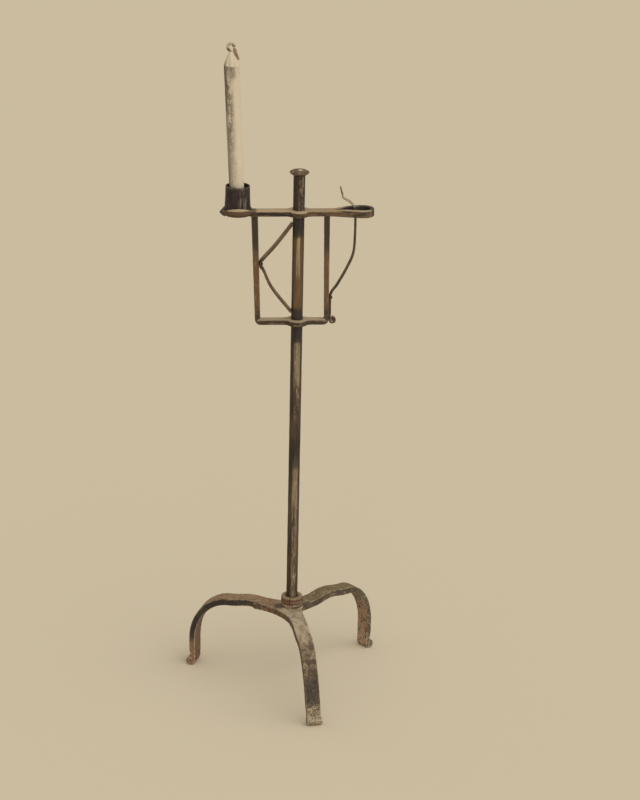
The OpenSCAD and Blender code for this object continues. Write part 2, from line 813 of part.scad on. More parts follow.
leg_pair();
right_leg();
hub_washer();
collar();
shaft();
crossbar();
yoke();
friction_spring();
spring_rivet();
candle_socket();
socket_rivet();
jaw();
jaw_rivet();
candle();
wick();
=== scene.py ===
"""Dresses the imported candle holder: hand-forged iron, a dipped candle, its wick and a plain stage."""

import math
import random

import bmesh
import bpy
from bpy.props import FloatProperty, FloatVectorProperty, PointerProperty
from bpy.types import Operator, Panel, PropertyGroup
from mathutils import Matrix, Vector


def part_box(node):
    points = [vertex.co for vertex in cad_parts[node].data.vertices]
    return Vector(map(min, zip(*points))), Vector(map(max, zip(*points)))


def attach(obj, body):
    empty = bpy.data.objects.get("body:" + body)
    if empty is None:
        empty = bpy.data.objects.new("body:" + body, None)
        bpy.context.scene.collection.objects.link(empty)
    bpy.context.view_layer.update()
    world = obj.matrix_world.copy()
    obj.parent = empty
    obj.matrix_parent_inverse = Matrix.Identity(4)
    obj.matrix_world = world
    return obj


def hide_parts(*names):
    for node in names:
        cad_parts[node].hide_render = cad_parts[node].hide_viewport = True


bl_info = {
    "name": "Forged candle holder",
    "version": (1, 0, 0),
    "blender": (4, 5, 0),
    "location": "3D View > Sidebar > Candle holder",
    "description": "Dresses a forged standing candle holder and sets its stage",
    "category": "Object",
}

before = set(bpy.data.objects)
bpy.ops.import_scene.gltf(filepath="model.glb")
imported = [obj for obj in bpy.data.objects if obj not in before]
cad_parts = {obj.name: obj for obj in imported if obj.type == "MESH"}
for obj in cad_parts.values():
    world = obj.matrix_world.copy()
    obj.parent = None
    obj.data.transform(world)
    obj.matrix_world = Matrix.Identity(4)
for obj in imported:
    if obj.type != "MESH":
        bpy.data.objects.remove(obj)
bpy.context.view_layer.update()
MM = 0.001

# Places that the frame gives
COLLAR_LOW, COLLAR_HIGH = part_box("collar")
SHAFT_LOW, SHAFT_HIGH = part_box("shaft")
WASHER_LOW, WASHER_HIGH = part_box("hub_washer")
EYE_TOP = WASHER_LOW.z
AXIS = Vector(((COLLAR_LOW.x + COLLAR_HIGH.x) / 2, (COLLAR_LOW.y + COLLAR_HIGH.y) / 2, 0))
SOCKET_LOW, SOCKET_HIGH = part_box("candle_socket")
BAR_LOW, BAR_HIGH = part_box("crossbar")
YOKE_LOW, YOKE_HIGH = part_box("yoke")
SPRING_LOW, SPRING_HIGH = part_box("friction_spring")
JAW_LOW, JAW_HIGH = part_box("jaw")
CANDLE_LOW, CANDLE_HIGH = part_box("candle")
WICK_LOW, WICK_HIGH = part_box("wick")
HEAD_Z = (BAR_LOW.z + YOKE_HIGH.z) / 2
SOCKET_X = AXIS.x - (SOCKET_LOW.x + SOCKET_HIGH.x) / 2


def length(name, words, default, low=0.0002, high=2.0):
    return FloatProperty(
        name=name, description=words, default=default, min=low, max=high, subtype="DISTANCE"
    )


def angle(name, words, degrees):
    return FloatProperty(
        name=name, description=words, default=math.radians(degrees), subtype="ANGLE"
    )


def colour(name, words, red, green, blue):
    return FloatVectorProperty(
        name=name, description=words, default=(red, green, blue), size=3, min=0, max=1,
        subtype="COLOR",
    )


class TripodSizes(PropertyGroup):
    """Sizes of the three legs and of the collar round the shaft's foot"""

    left_turn: angle("Left leg", "Direction of the left leg, seen from above", 158.7)
    foot_radius: length("Foot radius", "From the shaft to the middle of a foot's bar", 140.5 * MM)
    hub_top: length("Hub height", "Top of the lower hub plate", 108.8 * MM)
    hub_width: length("Hub width", "Diameter of the hub plates", 31 * MM)
    leg_width: length("Leg width", "Width of a leg beside the hub", 22 * MM)
    foot_width: length("Foot width", "Width of a leg at the foot", 19 * MM)
    leg_thick: length("Leg thickness", "Thickness of a leg beside the hub", 9.4 * MM)
    foot_thick: length("Foot thickness", "Thickness of a leg at the foot", 8.2 * MM)
    arch_radius: length("Arch radius", "Where the arch of a leg is highest", 96 * MM)
    arch_top: length("Arch height", "Top of every leg's arch", 107.8 * MM)
    arch_rise: length("Arch rise", "Extra rise on the way to the arch", 3 * MM)
    left_arch_in: length("Left arch", "How much nearer the left leg's arch is", 7 * MM)
    right_rise: length("Right rise", "Further rise of the single leg", 1.5 * MM)
    left_flare: length("Left flare", "How much wider the left foot is", 7 * MM)
    right_reach: length("Right reach", "How much further the single leg reaches", 2 * MM)
    shoulder_drop: length("Shoulder", "Height of the curve between arch and foot", 62 * MM)
    toe_width: length("Toe length", "Length of the rolled toe", 20.6 * MM)
    toe_size: length("Toe diameter", "Diameter of the rolled toe", 12.8 * MM)
    toe_strap: length("Toe strap", "Thickness of the strap in the roll", 5.4 * MM)
    toe_flat: length("Toe flat", "Depth of the worn flat under a toe", 0.4 * MM)
    step: length("Step", "Length of the step beside the single leg's eye", 8 * MM)
    crotch: length("Crotch", "Radius of the blend between the two legs", 80 * MM)
    front_bow: length("Front bow", "Sideways bow of the front leg", 5 * MM)
    tenon: length("Tenon", "Diameter of the hole for the shaft's tenon", 10.5 * MM)


class ShaftSizes(PropertyGroup):
    """Sizes of the round shaft and its upset head"""

    thick: length("Shaft", "Diameter of the shaft", 15.3 * MM)
    knob: length("Head", "Diameter of the upset head", 25.4 * MM)
    rim: length("Rim", "Height of the head's rounded rim", 2.8 * MM)
    flare: length("Flare", "Height of the flare below the rim", 3.5 * MM)
    dome: length("Dome", "Height of the dome over the rim", 2.4 * MM)
    tenon: length("Tenon", "Diameter of the tenon", 10.4 * MM)
    peen: length("Peened end", "Diameter of the end under the hub", 17 * MM)


class HeadSizes(PropertyGroup):
    """Sizes of the sliding head"""

    bar_width: length("Bar width", "Crossbar, front to back", 12 * MM)
    bar_high: length("Bar height", "Height of the crossbar", 7.8 * MM)
    eye: length("Eye", "Diameter of the crossbar's eye", 28 * MM)
    bore: length("Bore", "Diameter of the holes round the shaft", 15.9 * MM)
    pan: length("Pan", "Radius of the pan", 21 * MM)
    pan_thick: length("Pan thickness", "Thickness of the pan", 6 * MM)
    lip_high: length("Lip height", "Height of the pan's upturned lips", 6 * MM)
    lip_thick: length("Lip thickness", "Thickness of the pan's lips", 2.5 * MM)
    loop_start: length("Loop start", "From the shaft to the splint loop", 44 * MM)
    loop_deep: length("Loop depth", "Loop, front to back", 30 * MM)
    strap: length("Strap", "Thickness of the loop's strap", 4.5 * MM)
    strap_high: length("Strap height", "Height of the loop's strap", 9.6 * MM)
    left_top: length("Left top", "Candle side's upright at its top", 57 * MM)
    left_foot: length("Left foot", "Candle side's upright at its foot", 51.7 * MM)
    right_top: length("Right top", "Jaw side's upright at its top", 36.7 * MM)
    right_foot: length("Right foot", "Jaw side's upright at its foot", 38.6 * MM)
    upright_top: length("Upright top", "Thickness of an upright at its top", 7 * MM)
    upright_foot: length("Upright foot", "Thickness of an upright at its foot", 5.7 * MM)
    left_more: length("Left extra", "How much thicker the candle side's upright is", 1 * MM)
    upright_deep: length("Upright depth", "Uprights, front to back", 6.4 * MM)
    low_bar_high: length("Lower bar", "Height of the lower bar", 6.6 * MM)
    low_bar_deep: length("Lower bar depth", "Lower bar, front to back", 12 * MM)
    low_eye: length("Lower eye", "Diameter of the lower bar's eye", 29 * MM)
    low_eye_high: length("Lower eye height", "Height of the lower bar's eye", 8 * MM)


class LeafSizes(PropertyGroup):
    """Sizes of the friction spring and of the splint jaw"""

    spring_thick: length("Spring", "Thickness of the spring leaf", 3.4 * MM)
    spring_wide: length("Spring width", "Width of the spring leaf", 10 * MM)
    spring_flat: length("Spring bend", "Part of the leaf along the upright", 6 * MM)
    spring_bow: length("Spring bow", "Outward bow of the lower arm", 5 * MM)
    spring_turn: length("Spring turn", "How far the bend leaves the upright", 3.7 * MM)
    spring_off: length("Spring offset", "From halfway up the spring to its bend", 5 * MM)
    jaw_thick: length("Jaw", "Thickness of the jaw strip", 2.7 * MM)
    jaw_wide: length("Jaw width", "Width of the jaw strip", 6 * MM)
    jaw_rivet: length("Jaw rivet", "From the crossbar down to the jaw's rivet", 115 * MM)
    jaw_tail: length("Jaw tail", "From the rivet down to the rolled end", 30.5 * MM)
    jaw_out: length("Jaw reach", "From the shaft to the strip in the loop", 73.5 * MM)
    jaw_roll: length("Jaw roll", "Diameter of the rolled end", 9.6 * MM)


class CandleSizes(PropertyGroup):
    """Sizes of the socket, the candle and its wick"""

    socket_foot: length("Socket foot", "Diameter of the socket's foot", 34 * MM)
    socket_rim: length("Socket rim", "Diameter of the socket's rim", 31.6 * MM)
    socket_wall: length("Socket wall", "Thickness of the rolled sheet", 1.5 * MM)
    foot: length("Candle foot", "Diameter of the candle's foot", 19.3 * MM)
    shoulder: length("Candle shoulder", "Diameter of the candle's shoulder", 20 * MM)
    high: length("Candle", "Length of the candle up to its shoulder", 185.5 * MM)
    cone: length("Cone", "Height of the cone", 17 * MM)
    tip: length("Tip", "Diameter of the cone's tip", 4.8 * MM)
    lean: angle("Lean", "Lean of the candle away from the shaft", 2.8)
    wick: length("Wick", "Diameter of the wick", 3.2 * MM)
    loop: length("Wick loop", "Radius of the wick's loop", 4.4 * MM)
    tail: length("Wick tail", "Length of the wick's loose end", 17 * MM)
    tail_lean: angle("Wick tail lean", "Lean of the wick's loose end", 18)


class HolderColours(PropertyGroup):
    """Colours of the iron, the wax and the stage"""

    # Black is also laid as painted shade and painted shadow.
    black: colour("Black", "Scale and soot on the iron", 0.030, 0.024, 0.020)
    brown: colour("Brown", "Bare forged iron", 0.105, 0.064, 0.036)
    # Tan is also laid as painted light on upward faces and as painted highlight.
    tan: colour("Tan", "Worn and handled iron", 0.300, 0.215, 0.125)
    olive: colour("Olive", "Old bloom on the legs", 0.150, 0.120, 0.070)
    # Pale is also laid as painted highlight on edges and streaks.
    pale: colour("Pale", "Pale bloom on upward faces", 0.440, 0.345, 0.222)
    rust: colour("Rust", "Red rust", 0.190, 0.080, 0.035)
    # Cream is also the painted highlight on the shaft's head.
    cream: colour("Cream", "Wax", 0.625, 0.520, 0.362)
    # Smoke is also laid as painted shade on the candle.
    smoke: colour("Smoke", "Smudges on the wax", 0.075, 0.060, 0.045)
    cord: colour("Cord", "Wick", 0.430, 0.320, 0.200)
    paper: colour("Paper", "Floor and backdrop", 0.597, 0.503, 0.352)


class StageLook(PropertyGroup):
    """Lamps and camera"""

    lens: FloatProperty(name="Lens", description="Focal length, mm", default=104.27, min=10)
    camera_x: length("Camera X", "Camera, from the shaft", -225.96 * MM, low=-10.0, high=10.0)
    camera_y: length("Camera Y", "Camera, from the shaft", -2871.1 * MM, low=-10.0, high=10.0)
    camera_z: length("Camera Z", "Camera, over the floor", 1488.24 * MM, low=-10.0, high=10.0)
    yaw: angle("Yaw", "Turn of the camera to the right", 5.15)
    pitch: angle("Pitch", "Tilt of the camera downwards", 20.53)
    roll: angle("Roll", "Roll of the camera", 1.27)
    key_tilt: angle("Key tilt", "Tilt of the key lamp from upright", 48)
    key_turn: angle("Key turn", "Turn of the key lamp to the right", 40)
    key_soft: angle("Key softness", "Size of the key lamp in the sky", 90)
    sun: FloatProperty(name="Key", description="Strength of the key lamp", default=1.6, min=0)
    sky: FloatProperty(name="Fill", description="Strength of the fill light", default=0.66, min=0)


# Modelling by hand


def deselect():
    if bpy.context.object and bpy.context.object.mode != "OBJECT":
        bpy.ops.object.mode_set(mode="OBJECT")
    bpy.ops.object.select_all(action="DESELECT")


def take(piece):
    """Selects one piece alone and makes it the active one."""
    deselect()
    piece.select_set(True)
    bpy.context.view_layer.objects.active = piece
    return piece


def edit(piece):
    take(piece)
    bpy.ops.object.mode_set(mode="EDIT")
    bpy.ops.mesh.select_all(action="SELECT")


def pick(test, kind="VERT"):
    """In edit mode, selects the vertices or faces whose middle passes a test."""
    piece = bpy.context.object
    bpy.ops.mesh.select_mode(type=kind)
    bpy.ops.mesh.select_all(action="DESELECT")
    mesh = bmesh.from_edit_mesh(piece.data)
    for item in mesh.verts if kind == "VERT" else mesh.faces:
        item.select_set(test(item.co if kind == "VERT" else item.calc_center_median()))
    mesh.select_flush(kind == "VERT")
    bmesh.update_edit_mesh(piece.data)


def turn(degrees_in_radians, axis, centre):
    """Turns what is selected. With no window Blender turns the other way."""
    value = -degrees_in_radians if bpy.app.background else degrees_in_radians
    bpy.ops.transform.rotate(value=value, orient_axis=axis, center_override=centre)


def close_up():
    """In edit mode, merges doubles and points every face outwards."""
    bpy.ops.mesh.select_all(action="SELECT")
    bpy.ops.mesh.remove_doubles(threshold=1e-6)
    bpy.ops.mesh.normals_make_consistent(inside=False)
    bpy.ops.object.mode_set(mode="OBJECT")


def modify(piece, kind, **settings):
    """Adds one modifier with its settings and applies it."""
    take(piece)
    modifier = piece.modifiers.new(kind.title(), kind)
    for name, value in settings.items():
        setattr(modifier, name, value)
    bpy.ops.object.modifier_apply(modifier=modifier.name)
    return piece


def cut(piece, tool, operation="DIFFERENCE"):
    """Cuts a piece with another one, or joins the two, and removes the tool."""
    modify(piece, "BOOLEAN", object=tool, operation=operation, solver="EXACT")
    bpy.data.objects.remove(tool)
    return piece


def rod(radius, low, high, x=0.0, y=0.0, sides=64, way="Z"):
    """A plain round rod, as a drift or a punch for the holes."""
    deselect()
    middle = (low + high) / 2
    place = {"X": (middle, y, x), "Y": (x, middle, y), "Z": (x, y, middle)}[way]
    lean = {"X": (0, math.pi / 2, 0), "Y": (math.pi / 2, 0, 0), "Z": (0, 0, 0)}[way]
    bpy.ops.mesh.primitive_cylinder_add(
        vertices=sides, radius=radius, depth=high - low, location=place, rotation=lean
    )
    bpy.ops.object.transform_apply(location=True, rotation=True, scale=True)
    return bpy.context.object


def draw_out(path, wide, thick, level=False, drift=None):
    """Draws a bar out along a path: its end face is extruded, turned and sized from point to point.

    The path runs in the XZ plane, or in the XY plane when it is level. wide is the size across
    that plane and thick the size in it, and drift moves each section sideways.
    """
    deselect()
    count = len(path)
    drift = drift or [0.0] * count
    points = [
        Vector((p[0], p[1], 0)) if level else Vector((p[0], side, p[1]))
        for p, side in zip(path, drift)
    ]
    if level:
        points = [p + Vector((0, 0, side)) for p, side in zip(points, drift)]
    axis = "Z" if level else "Y"

    def heading(i):
        way = points[min(i + 1, count - 1)] - points[max(i - 1, 0)]
        return math.atan2(way.y, way.x) if level else math.atan2(way.x, way.z)

    bpy.ops.mesh.primitive_plane_add(size=1, location=(0, 0, 0))
    bar = bpy.context.object
    edit(bar)
    first = (wide[0], thick[0], 1) if level else (thick[0], wide[0], 1)
    bpy.ops.transform.resize(value=first, center_override=(0, 0, 0))
    if level:
        turn(math.pi / 2, "Y", (0, 0, 0))
    turn(heading(0), axis, (0, 0, 0))
    bpy.ops.transform.translate(value=points[0])
    for i in range(1, count):
        bpy.ops.mesh.extrude_region_move(
            TRANSFORM_OT_translate={"value": points[i] - points[i - 1]}
        )
        bend = (heading(i) - heading(i - 1) + math.pi) % math.tau - math.pi
        turn(bend, axis, points[i])
        across, along = wide[i] / wide[i - 1], thick[i] / thick[i - 1]
        size = (along, along, across) if level else (along, across, along)
        bpy.ops.transform.resize(value=size, center_override=points[i])
    close_up()
    return bar


def lathe(profile, steps=48, gap=0.0):
    """Spins a profile of (radius, height) round the Z axis, over all but a gap."""
    deselect()
    ring = gap > 0 or profile[0] == profile[-1]
    outline = profile[:-1] if profile[0] == profile[-1] else profile
    bpy.ops.mesh.primitive_plane_add(size=1, location=(0, 0, 0))
    piece = bpy.context.object
    edit(piece)
    bpy.ops.mesh.merge(type="CENTER")
    bpy.ops.transform.translate(value=(outline[0][0], 0, outline[0][1]))
    for a, b in zip(outline, outline[1:]):
        step = (b[0] - a[0], 0, b[1] - a[1])
        bpy.ops.mesh.extrude_vertices_move(TRANSFORM_OT_translate={"value": step})
    bpy.ops.mesh.select_all(action="SELECT")
    if ring:
        first, last = (Vector((p[0], 0, p[1])) for p in (outline[0], outline[-1]))
        pick(lambda co: (co - first).length < 1e-7 or (co - last).length < 1e-7)
        bpy.ops.mesh.edge_face_add()
        bpy.ops.mesh.select_all(action="SELECT")
    bpy.ops.mesh.spin(steps=steps, angle=math.tau - gap, center=(0, 0, 0), axis=(0, 0, 1))
    bpy.ops.mesh.select_all(action="SELECT")
    bpy.ops.mesh.remove_doubles(threshold=1e-6)
    if gap:
        bpy.ops.mesh.fill_holes(sides=0)
    close_up()
    return piece


def join(first, *others):
    take(first)
    for piece in others:
        piece.select_set(True)
    bpy.ops.object.join()
    return first


def shift(piece, move=(0, 0, 0), about_z=0.0, lean_y=0.0):
    """Leans, turns and moves a piece, and sets that in its mesh."""
    take(piece)
    place = Matrix.Translation(move) @ Matrix.Rotation(about_z, 4, "Z")
    piece.matrix_world = place @ Matrix.Rotation(lean_y, 4, "Y") @ piece.matrix_world
    bpy.ops.object.transform_apply(location=True, rotation=True, scale=True)
    return piece


def soften(piece, grain, passes, grow=0.25 * MM):
    """Blends the welds and rounds the edges, as heat and the hammer do, and keeps the width."""
    modify(piece, "REMESH", mode="VOXEL", voxel_size=grain)
    modify(piece, "SMOOTH", factor=0.5, iterations=passes)
    return modify(piece, "DISPLACE", strength=grow, mid_level=0.0)


def dent(piece, deep, size):
    """Leaves shallow hammer marks, nearly all of them inwards."""
    marks = bpy.data.textures.new("Hammer marks", "CLOUDS")
    marks.noise_scale = size
    marks.noise_depth = 1
    modify(
        piece, "DISPLACE", texture=marks, strength=deep, mid_level=0.8, texture_coords="LOCAL"
    )
    bpy.data.textures.remove(marks)
    return piece


def spline(points, steps):
    """Points on a smooth curve through a list of points."""
    ends = [points[0], *points, points[-1]]
    curve = []
    for a, b, c, d in zip(ends, ends[1:], ends[2:], ends[3:]):
        for k in range(steps):
            t = k / steps
            curve.append(tuple(
                ((-a[i] + 3 * b[i] - 3 * c[i] + d[i]) * t ** 3
                 + (2 * a[i] - 5 * b[i] + 4 * c[i] - d[i]) * t ** 2
                 + (c[i] - a[i]) * t + 2 * b[i]) / 2
                for i in range(len(a))
            ))
    return curve + [tuple(points[-1])]


def finish(piece, name, body, slot, material, *nodes, place=True):
    """Sets a piece on the shaft's axis, and gives it its body and its finish."""
    if place:
        shift(piece, AXIS)
    take(piece)
    bpy.ops.object.shade_smooth()
    piece.name = piece.data.name = name
    piece.data.materials.clear()
    piece.data.materials.append(material)
    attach(piece, body)
    if nodes:
        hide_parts(*nodes)
    return piece


def smooth_step(t):
    return (1 - math.cos(math.pi * t)) / 2


# Finishes


class Bench:
    """Adds nodes to one node tree and joins their sockets."""

    def __init__(self, tree):
        self.tree = tree

    def add(self, kind, inputs=None, **settings):
        node = self.tree.nodes.new(kind)
        for name, value in settings.items():
            setattr(node, name, value)
        for name, value in (inputs or {}).items():
            if isinstance(value, bpy.types.NodeSocket):
                self.tree.links.new(value, node.inputs[name])
            else:
                node.inputs[name].default_value = value
        return node

    def math(self, operation, a, b=0.0, clamp=False):
        node = self.add("ShaderNodeMath", {0: a, 1: b}, operation=operation, use_clamp=clamp)
        return node.outputs[0]

    def mix(self, factor, a, b, blend="MIX"):
        node = self.add(
            "ShaderNodeMix", {0: factor, 6: rgba(a), 7: rgba(b)}, data_type="RGBA",
            blend_type=blend,
        )
        return node.outputs[2]

    def ease(self, value, low, high, out_low=0.0, out_high=1.0):
        node = self.add(
            "ShaderNodeMapRange",
            {"Value": value, "From Min": low, "From Max": high, "To Min": out_low,
             "To Max": out_high},
            interpolation_type="SMOOTHSTEP",
        )
        return node.outputs[0]

    def noise(self, vector, scale, detail=4.0, rough=0.6):
        node = self.add(
            "ShaderNodeTexNoise",
            {"Vector": vector, "Scale": scale, "Detail": detail, "Roughness": rough},
        )
        return node.outputs["Fac"]

    def group(self, tree, **inputs):
        node = self.add("ShaderNodeGroup", node_tree=tree)
        for name, value in inputs.items():
            socket = node.inputs[name.replace("_", " ").capitalize()]
            if isinstance(value, bpy.types.NodeSocket):
                self.tree.links.new(value, socket)
            else:
                socket.default_value = rgba(value) if socket.type == "RGBA" else value
        return node


def rgba(value):
    """A colour's four numbers, or the socket that it comes from."""
    if isinstance(value, bpy.types.NodeSocket) or len(value) == 4:
        return value
    return (*value, 1.0)


def new_group(name, inputs, outputs):
    """An empty node group with named sockets, and its bench, input and output nodes."""
    tree = bpy.data.node_groups.new(name, "ShaderNodeTree")
    kinds = {"colour": "NodeSocketColor", "value": "NodeSocketFloat", "vector": "NodeSocketVector"}
    for title, kind in inputs.items():
        tree.interface.new_socket(title, in_out="INPUT", socket_type=kinds[kind])
    for title, kind in outputs.items():
        tree.interface.new_socket(title, in_out="OUTPUT", socket_type=kinds[kind])
    bench = Bench(tree)
    return tree, bench, bench.add("NodeGroupInput").outputs, bench.add("NodeGroupOutput").inputs


def build_mottle():
    """Two colours in soft patches with a third in smaller ones, and the height of the patches."""
    tree, bench, given, out = new_group(
        "Mottled iron",
        {"Vector": "vector", "Size": "value", "Base": "colour", "Patch": "colour",
         "Spot": "colour", "Spots": "value"},
        {"Color": "colour", "Height": "value"},
    )
    broad = bench.noise(given["Vector"], given["Size"], 5.0, 0.65)
    fine = bench.noise(given["Vector"], bench.math("MULTIPLY", given["Size"], 3.7), 6.0, 0.7)
    patches = bench.ease(broad, 0.40, 0.62)
    coloured = bench.mix(patches, given["Base"], given["Patch"])
    edge = bench.math("SUBTRACT", 0.74, bench.math("MULTIPLY", given["Spots"], 0.36))
    spots = bench.ease(fine, edge, bench.math("ADD", edge, 0.10))
    tree.links.new(bench.mix(spots, coloured, given["Spot"]), out["Color"])
    rough = bench.math("ADD", bench.math("MULTIPLY", fine, 0.7), bench.math("MULTIPLY", broad, 0.5))
    tree.links.new(rough, out["Height"])
    return tree


def build_painted_top_light():
    """Painted top light: a pale colour that lies on upward faces and breaks up at its edges."""
    tree, bench, given, out = new_group(
        "Pale bloom",
        {"Vector": "vector", "Normal": "vector", "Amount": "value", "Size": "value"},
        {"Mask": "value"},
    )
    up = bench.add("ShaderNodeSeparateXYZ", {0: given["Normal"]}).outputs["Z"]
    broken = bench.noise(given["Vector"], given["Size"], 5.0, 0.7)
    lifted = bench.math("ADD", up, bench.math("MULTIPLY", bench.math("SUBTRACT", broken, 0.5), 0.9))
    mask = bench.math("MULTIPLY", bench.ease(lifted, 0.25, 0.75), given["Amount"], clamp=True)
    tree.links.new(mask, out["Mask"])
    return tree


def build_wear():
    """Bright wear along edges, from how sharply the surface turns."""
    tree, bench, given, out = new_group(
        "Edge wear",
        {"Vector": "vector", "Pointiness": "value", "Amount": "value", "Size": "value"},
        {"Mask": "value"},
    )
    edges = bench.ease(given["Pointiness"], 0.505, 0.56)
    broken = bench.ease(bench.noise(given["Vector"], given["Size"], 3.0), 0.35, 0.65)
    mask = bench.math("MULTIPLY", bench.math("MULTIPLY", edges, broken), given["Amount"], clamp=True)
    tree.links.new(mask, out["Mask"])
    return tree


def build_flecks():
    """Small hard flecks, as of old limewash or scale."""
    tree, bench, given, out = new_group(
        "Flecks", {"Vector": "vector", "Size": "value", "Amount": "value"}, {"Mask": "value"}
    )
    crisp = bench.noise(given["Vector"], given["Size"], 6.0, 0.8)
    edge = bench.math("SUBTRACT", 0.76, bench.math("MULTIPLY", given["Amount"], 0.34))
    tree.links.new(bench.ease(crisp, edge, bench.math("ADD", edge, 0.04)), out["Mask"])
    return tree


def build_band():
    """A zone between two levels of a value, with a ragged edge."""
    tree, bench, given, out = new_group(
        "Ragged band",
        {"Vector": "vector", "Level": "value", "Low": "value", "High": "value", "Soft": "value",
         "Ragged": "value", "Size": "value"},
        {"Mask": "value"},
    )
    wander = bench.math("SUBTRACT", bench.noise(given["Vector"], given["Size"], 4.0), 0.5)
    level = bench.math("ADD", given["Level"], bench.math("MULTIPLY", wander, given["Ragged"]))
    rise = bench.ease(level, bench.math("SUBTRACT", given["Low"], given["Soft"]), given["Low"])
    fall = bench.ease(level, given["High"], bench.math("ADD", given["High"], given["Soft"]), 1.0, 0.0)
    tree.links.new(bench.math("MULTIPLY", rise, fall), out["Mask"])
    return tree


class Finish:
    """One iron, wax or cord material while it is being mixed."""

    def __init__(self, name):
        self.material = bpy.data.materials.new(name)
        self.material.use_nodes = True
        self.tree = self.material.node_tree
        self.bench = Bench(self.tree)
        self.shader = self.tree.nodes["Principled BSDF"]
        given = self.bench.add("ShaderNodeTexCoord").outputs
        self.place, self.normal = given["Object"], given["Normal"]
        split = self.bench.add("ShaderNodeSeparateXYZ", {0: self.place}).outputs
        self.x, self.y, self.z = split["X"], split["Y"], split["Z"]
        self.pointiness = self.bench.add("ShaderNodeNewGeometry").outputs["Pointiness"]
        self.colour = None
        self.height = None

    def stretched(self, x=1.0, y=1.0, z=1.0, way=0.0):
        """The place from the shaft, turned to a leg's own direction and drawn out along an axis."""
        node = self.bench.add(
            "ShaderNodeMapping",
            {"Vector": self.place, "Location": AXIS, "Rotation": (0, 0, way),
             "Scale": (1 / x, 1 / y, 1 / z)},
            vector_type="TEXTURE",
        )
        return node.outputs[0]

    def marks(self, vector, size, low, high, detail=5.0):
        """Where a noise is strong: streaks on a drawn-out place, patches on a plain one."""
        return self.bench.ease(self.bench.noise(vector, size, detail, 0.7), low, high)

    def toward(self, x, y, z, low=0.3, high=0.8):
        """The faces that look in a direction."""
        node = self.bench.add(
            "ShaderNodeVectorMath", {0: self.normal, 1: Vector((x, y, z)).normalized()},
            operation="DOT_PRODUCT",
        )
        return self.bench.ease(node.outputs["Value"], low, high)

    def rim(self, colour, amount, start=0.35, end=0.75):
        """Painted shade: a dark colour laid on the flanks, which look neither up nor to the front or the back.
        """
        across = self.bench.add("ShaderNodeSeparateXYZ", {0: self.normal}).outputs["Y"]
        flank = self.bench.math("SUBTRACT", 1.0, self.bench.math("ABSOLUTE", across))
        steep = self.bench.math("SUBTRACT", 1.0, self.toward(0, 0, 1, 0.25, 0.60))
        self.over(self.both(self.both(self.bench.ease(flank, start, end), steep), amount), colour)

    def mottle(self, base, patch, spot, spots=0.3, size=90.0, vector=None):
        node = self.bench.group(
            GROUPS["mottle"], vector=vector or self.place, size=size, base=base, patch=patch,
            spot=spot, spots=spots,
        )
        self.colour, self.height = node.outputs["Color"], node.outputs["Height"]

    def over(self, mask, colour, blend="MIX"):
        self.colour = self.bench.mix(mask, self.colour, colour, blend)

    def band(self, level, low, high, soft=0.01, ragged=0.0, size=60.0):
        node = self.bench.group(
            GROUPS["band"], vector=self.place, level=level, low=low, high=high, soft=soft,
            ragged=ragged, size=size,
        )
        return node.outputs["Mask"]

    def both(self, a, b):
        return self.bench.math("MULTIPLY", a, b, clamp=True)

    # Painted top light: a colour laid on upward faces.
    def bloom(self, colour, amount, size=140.0, where=None):
        node = self.bench.group(
            GROUPS["bloom"], vector=self.place, normal=self.normal, amount=amount, size=size
        )
        mask = node.outputs["Mask"]
        self.over(self.both(mask, where) if where else mask, colour)

    def wear(self, colour, amount, size=160.0):
        node = self.bench.group(
            GROUPS["wear"], vector=self.place, pointiness=self.pointiness, amount=amount,
            size=size,
        )
        self.over(node.outputs["Mask"], colour)

    def flecks(self, colour, amount, size=700.0, where=None):
        node = self.bench.group(GROUPS["flecks"], vector=self.place, size=size, amount=amount)
        mask = node.outputs["Mask"]
        self.over(self.both(mask, where) if where else mask, colour)

    def done(self, rough=0.6, metal=0.15, bump=0.25, rough_spread=0.25, gloss_level=0.3):
        """Joins the colour, the gloss and the pitting to the shader."""
        tree = self.tree
        tree.links.new(self.colour, self.shader.inputs["Base Color"])
        gloss = self.bench.ease(self.height, 0.3, 0.9, rough - rough_spread / 2,
                                rough + rough_spread / 2)
        tree.links.new(gloss, self.shader.inputs["Roughness"])
        self.shader.inputs["Metallic"].default_value = metal
        self.shader.inputs["Specular IOR Level"].default_value = gloss_level
        pits = self.bench.add(
            "ShaderNodeBump", {"Height": self.height, "Strength": bump, "Distance": 0.6 * MM}
        )
        tree.links.new(pits.outputs["Normal"], self.shader.inputs["Normal"])
        return self.material


GROUPS = {}


def build_groups():
    GROUPS.update(
        mottle=build_mottle(), bloom=build_painted_top_light(), wear=build_wear(), flecks=build_flecks(),
        band=build_band(),
    )


def hues():
    return bpy.context.scene.holder_colours


# The tripod


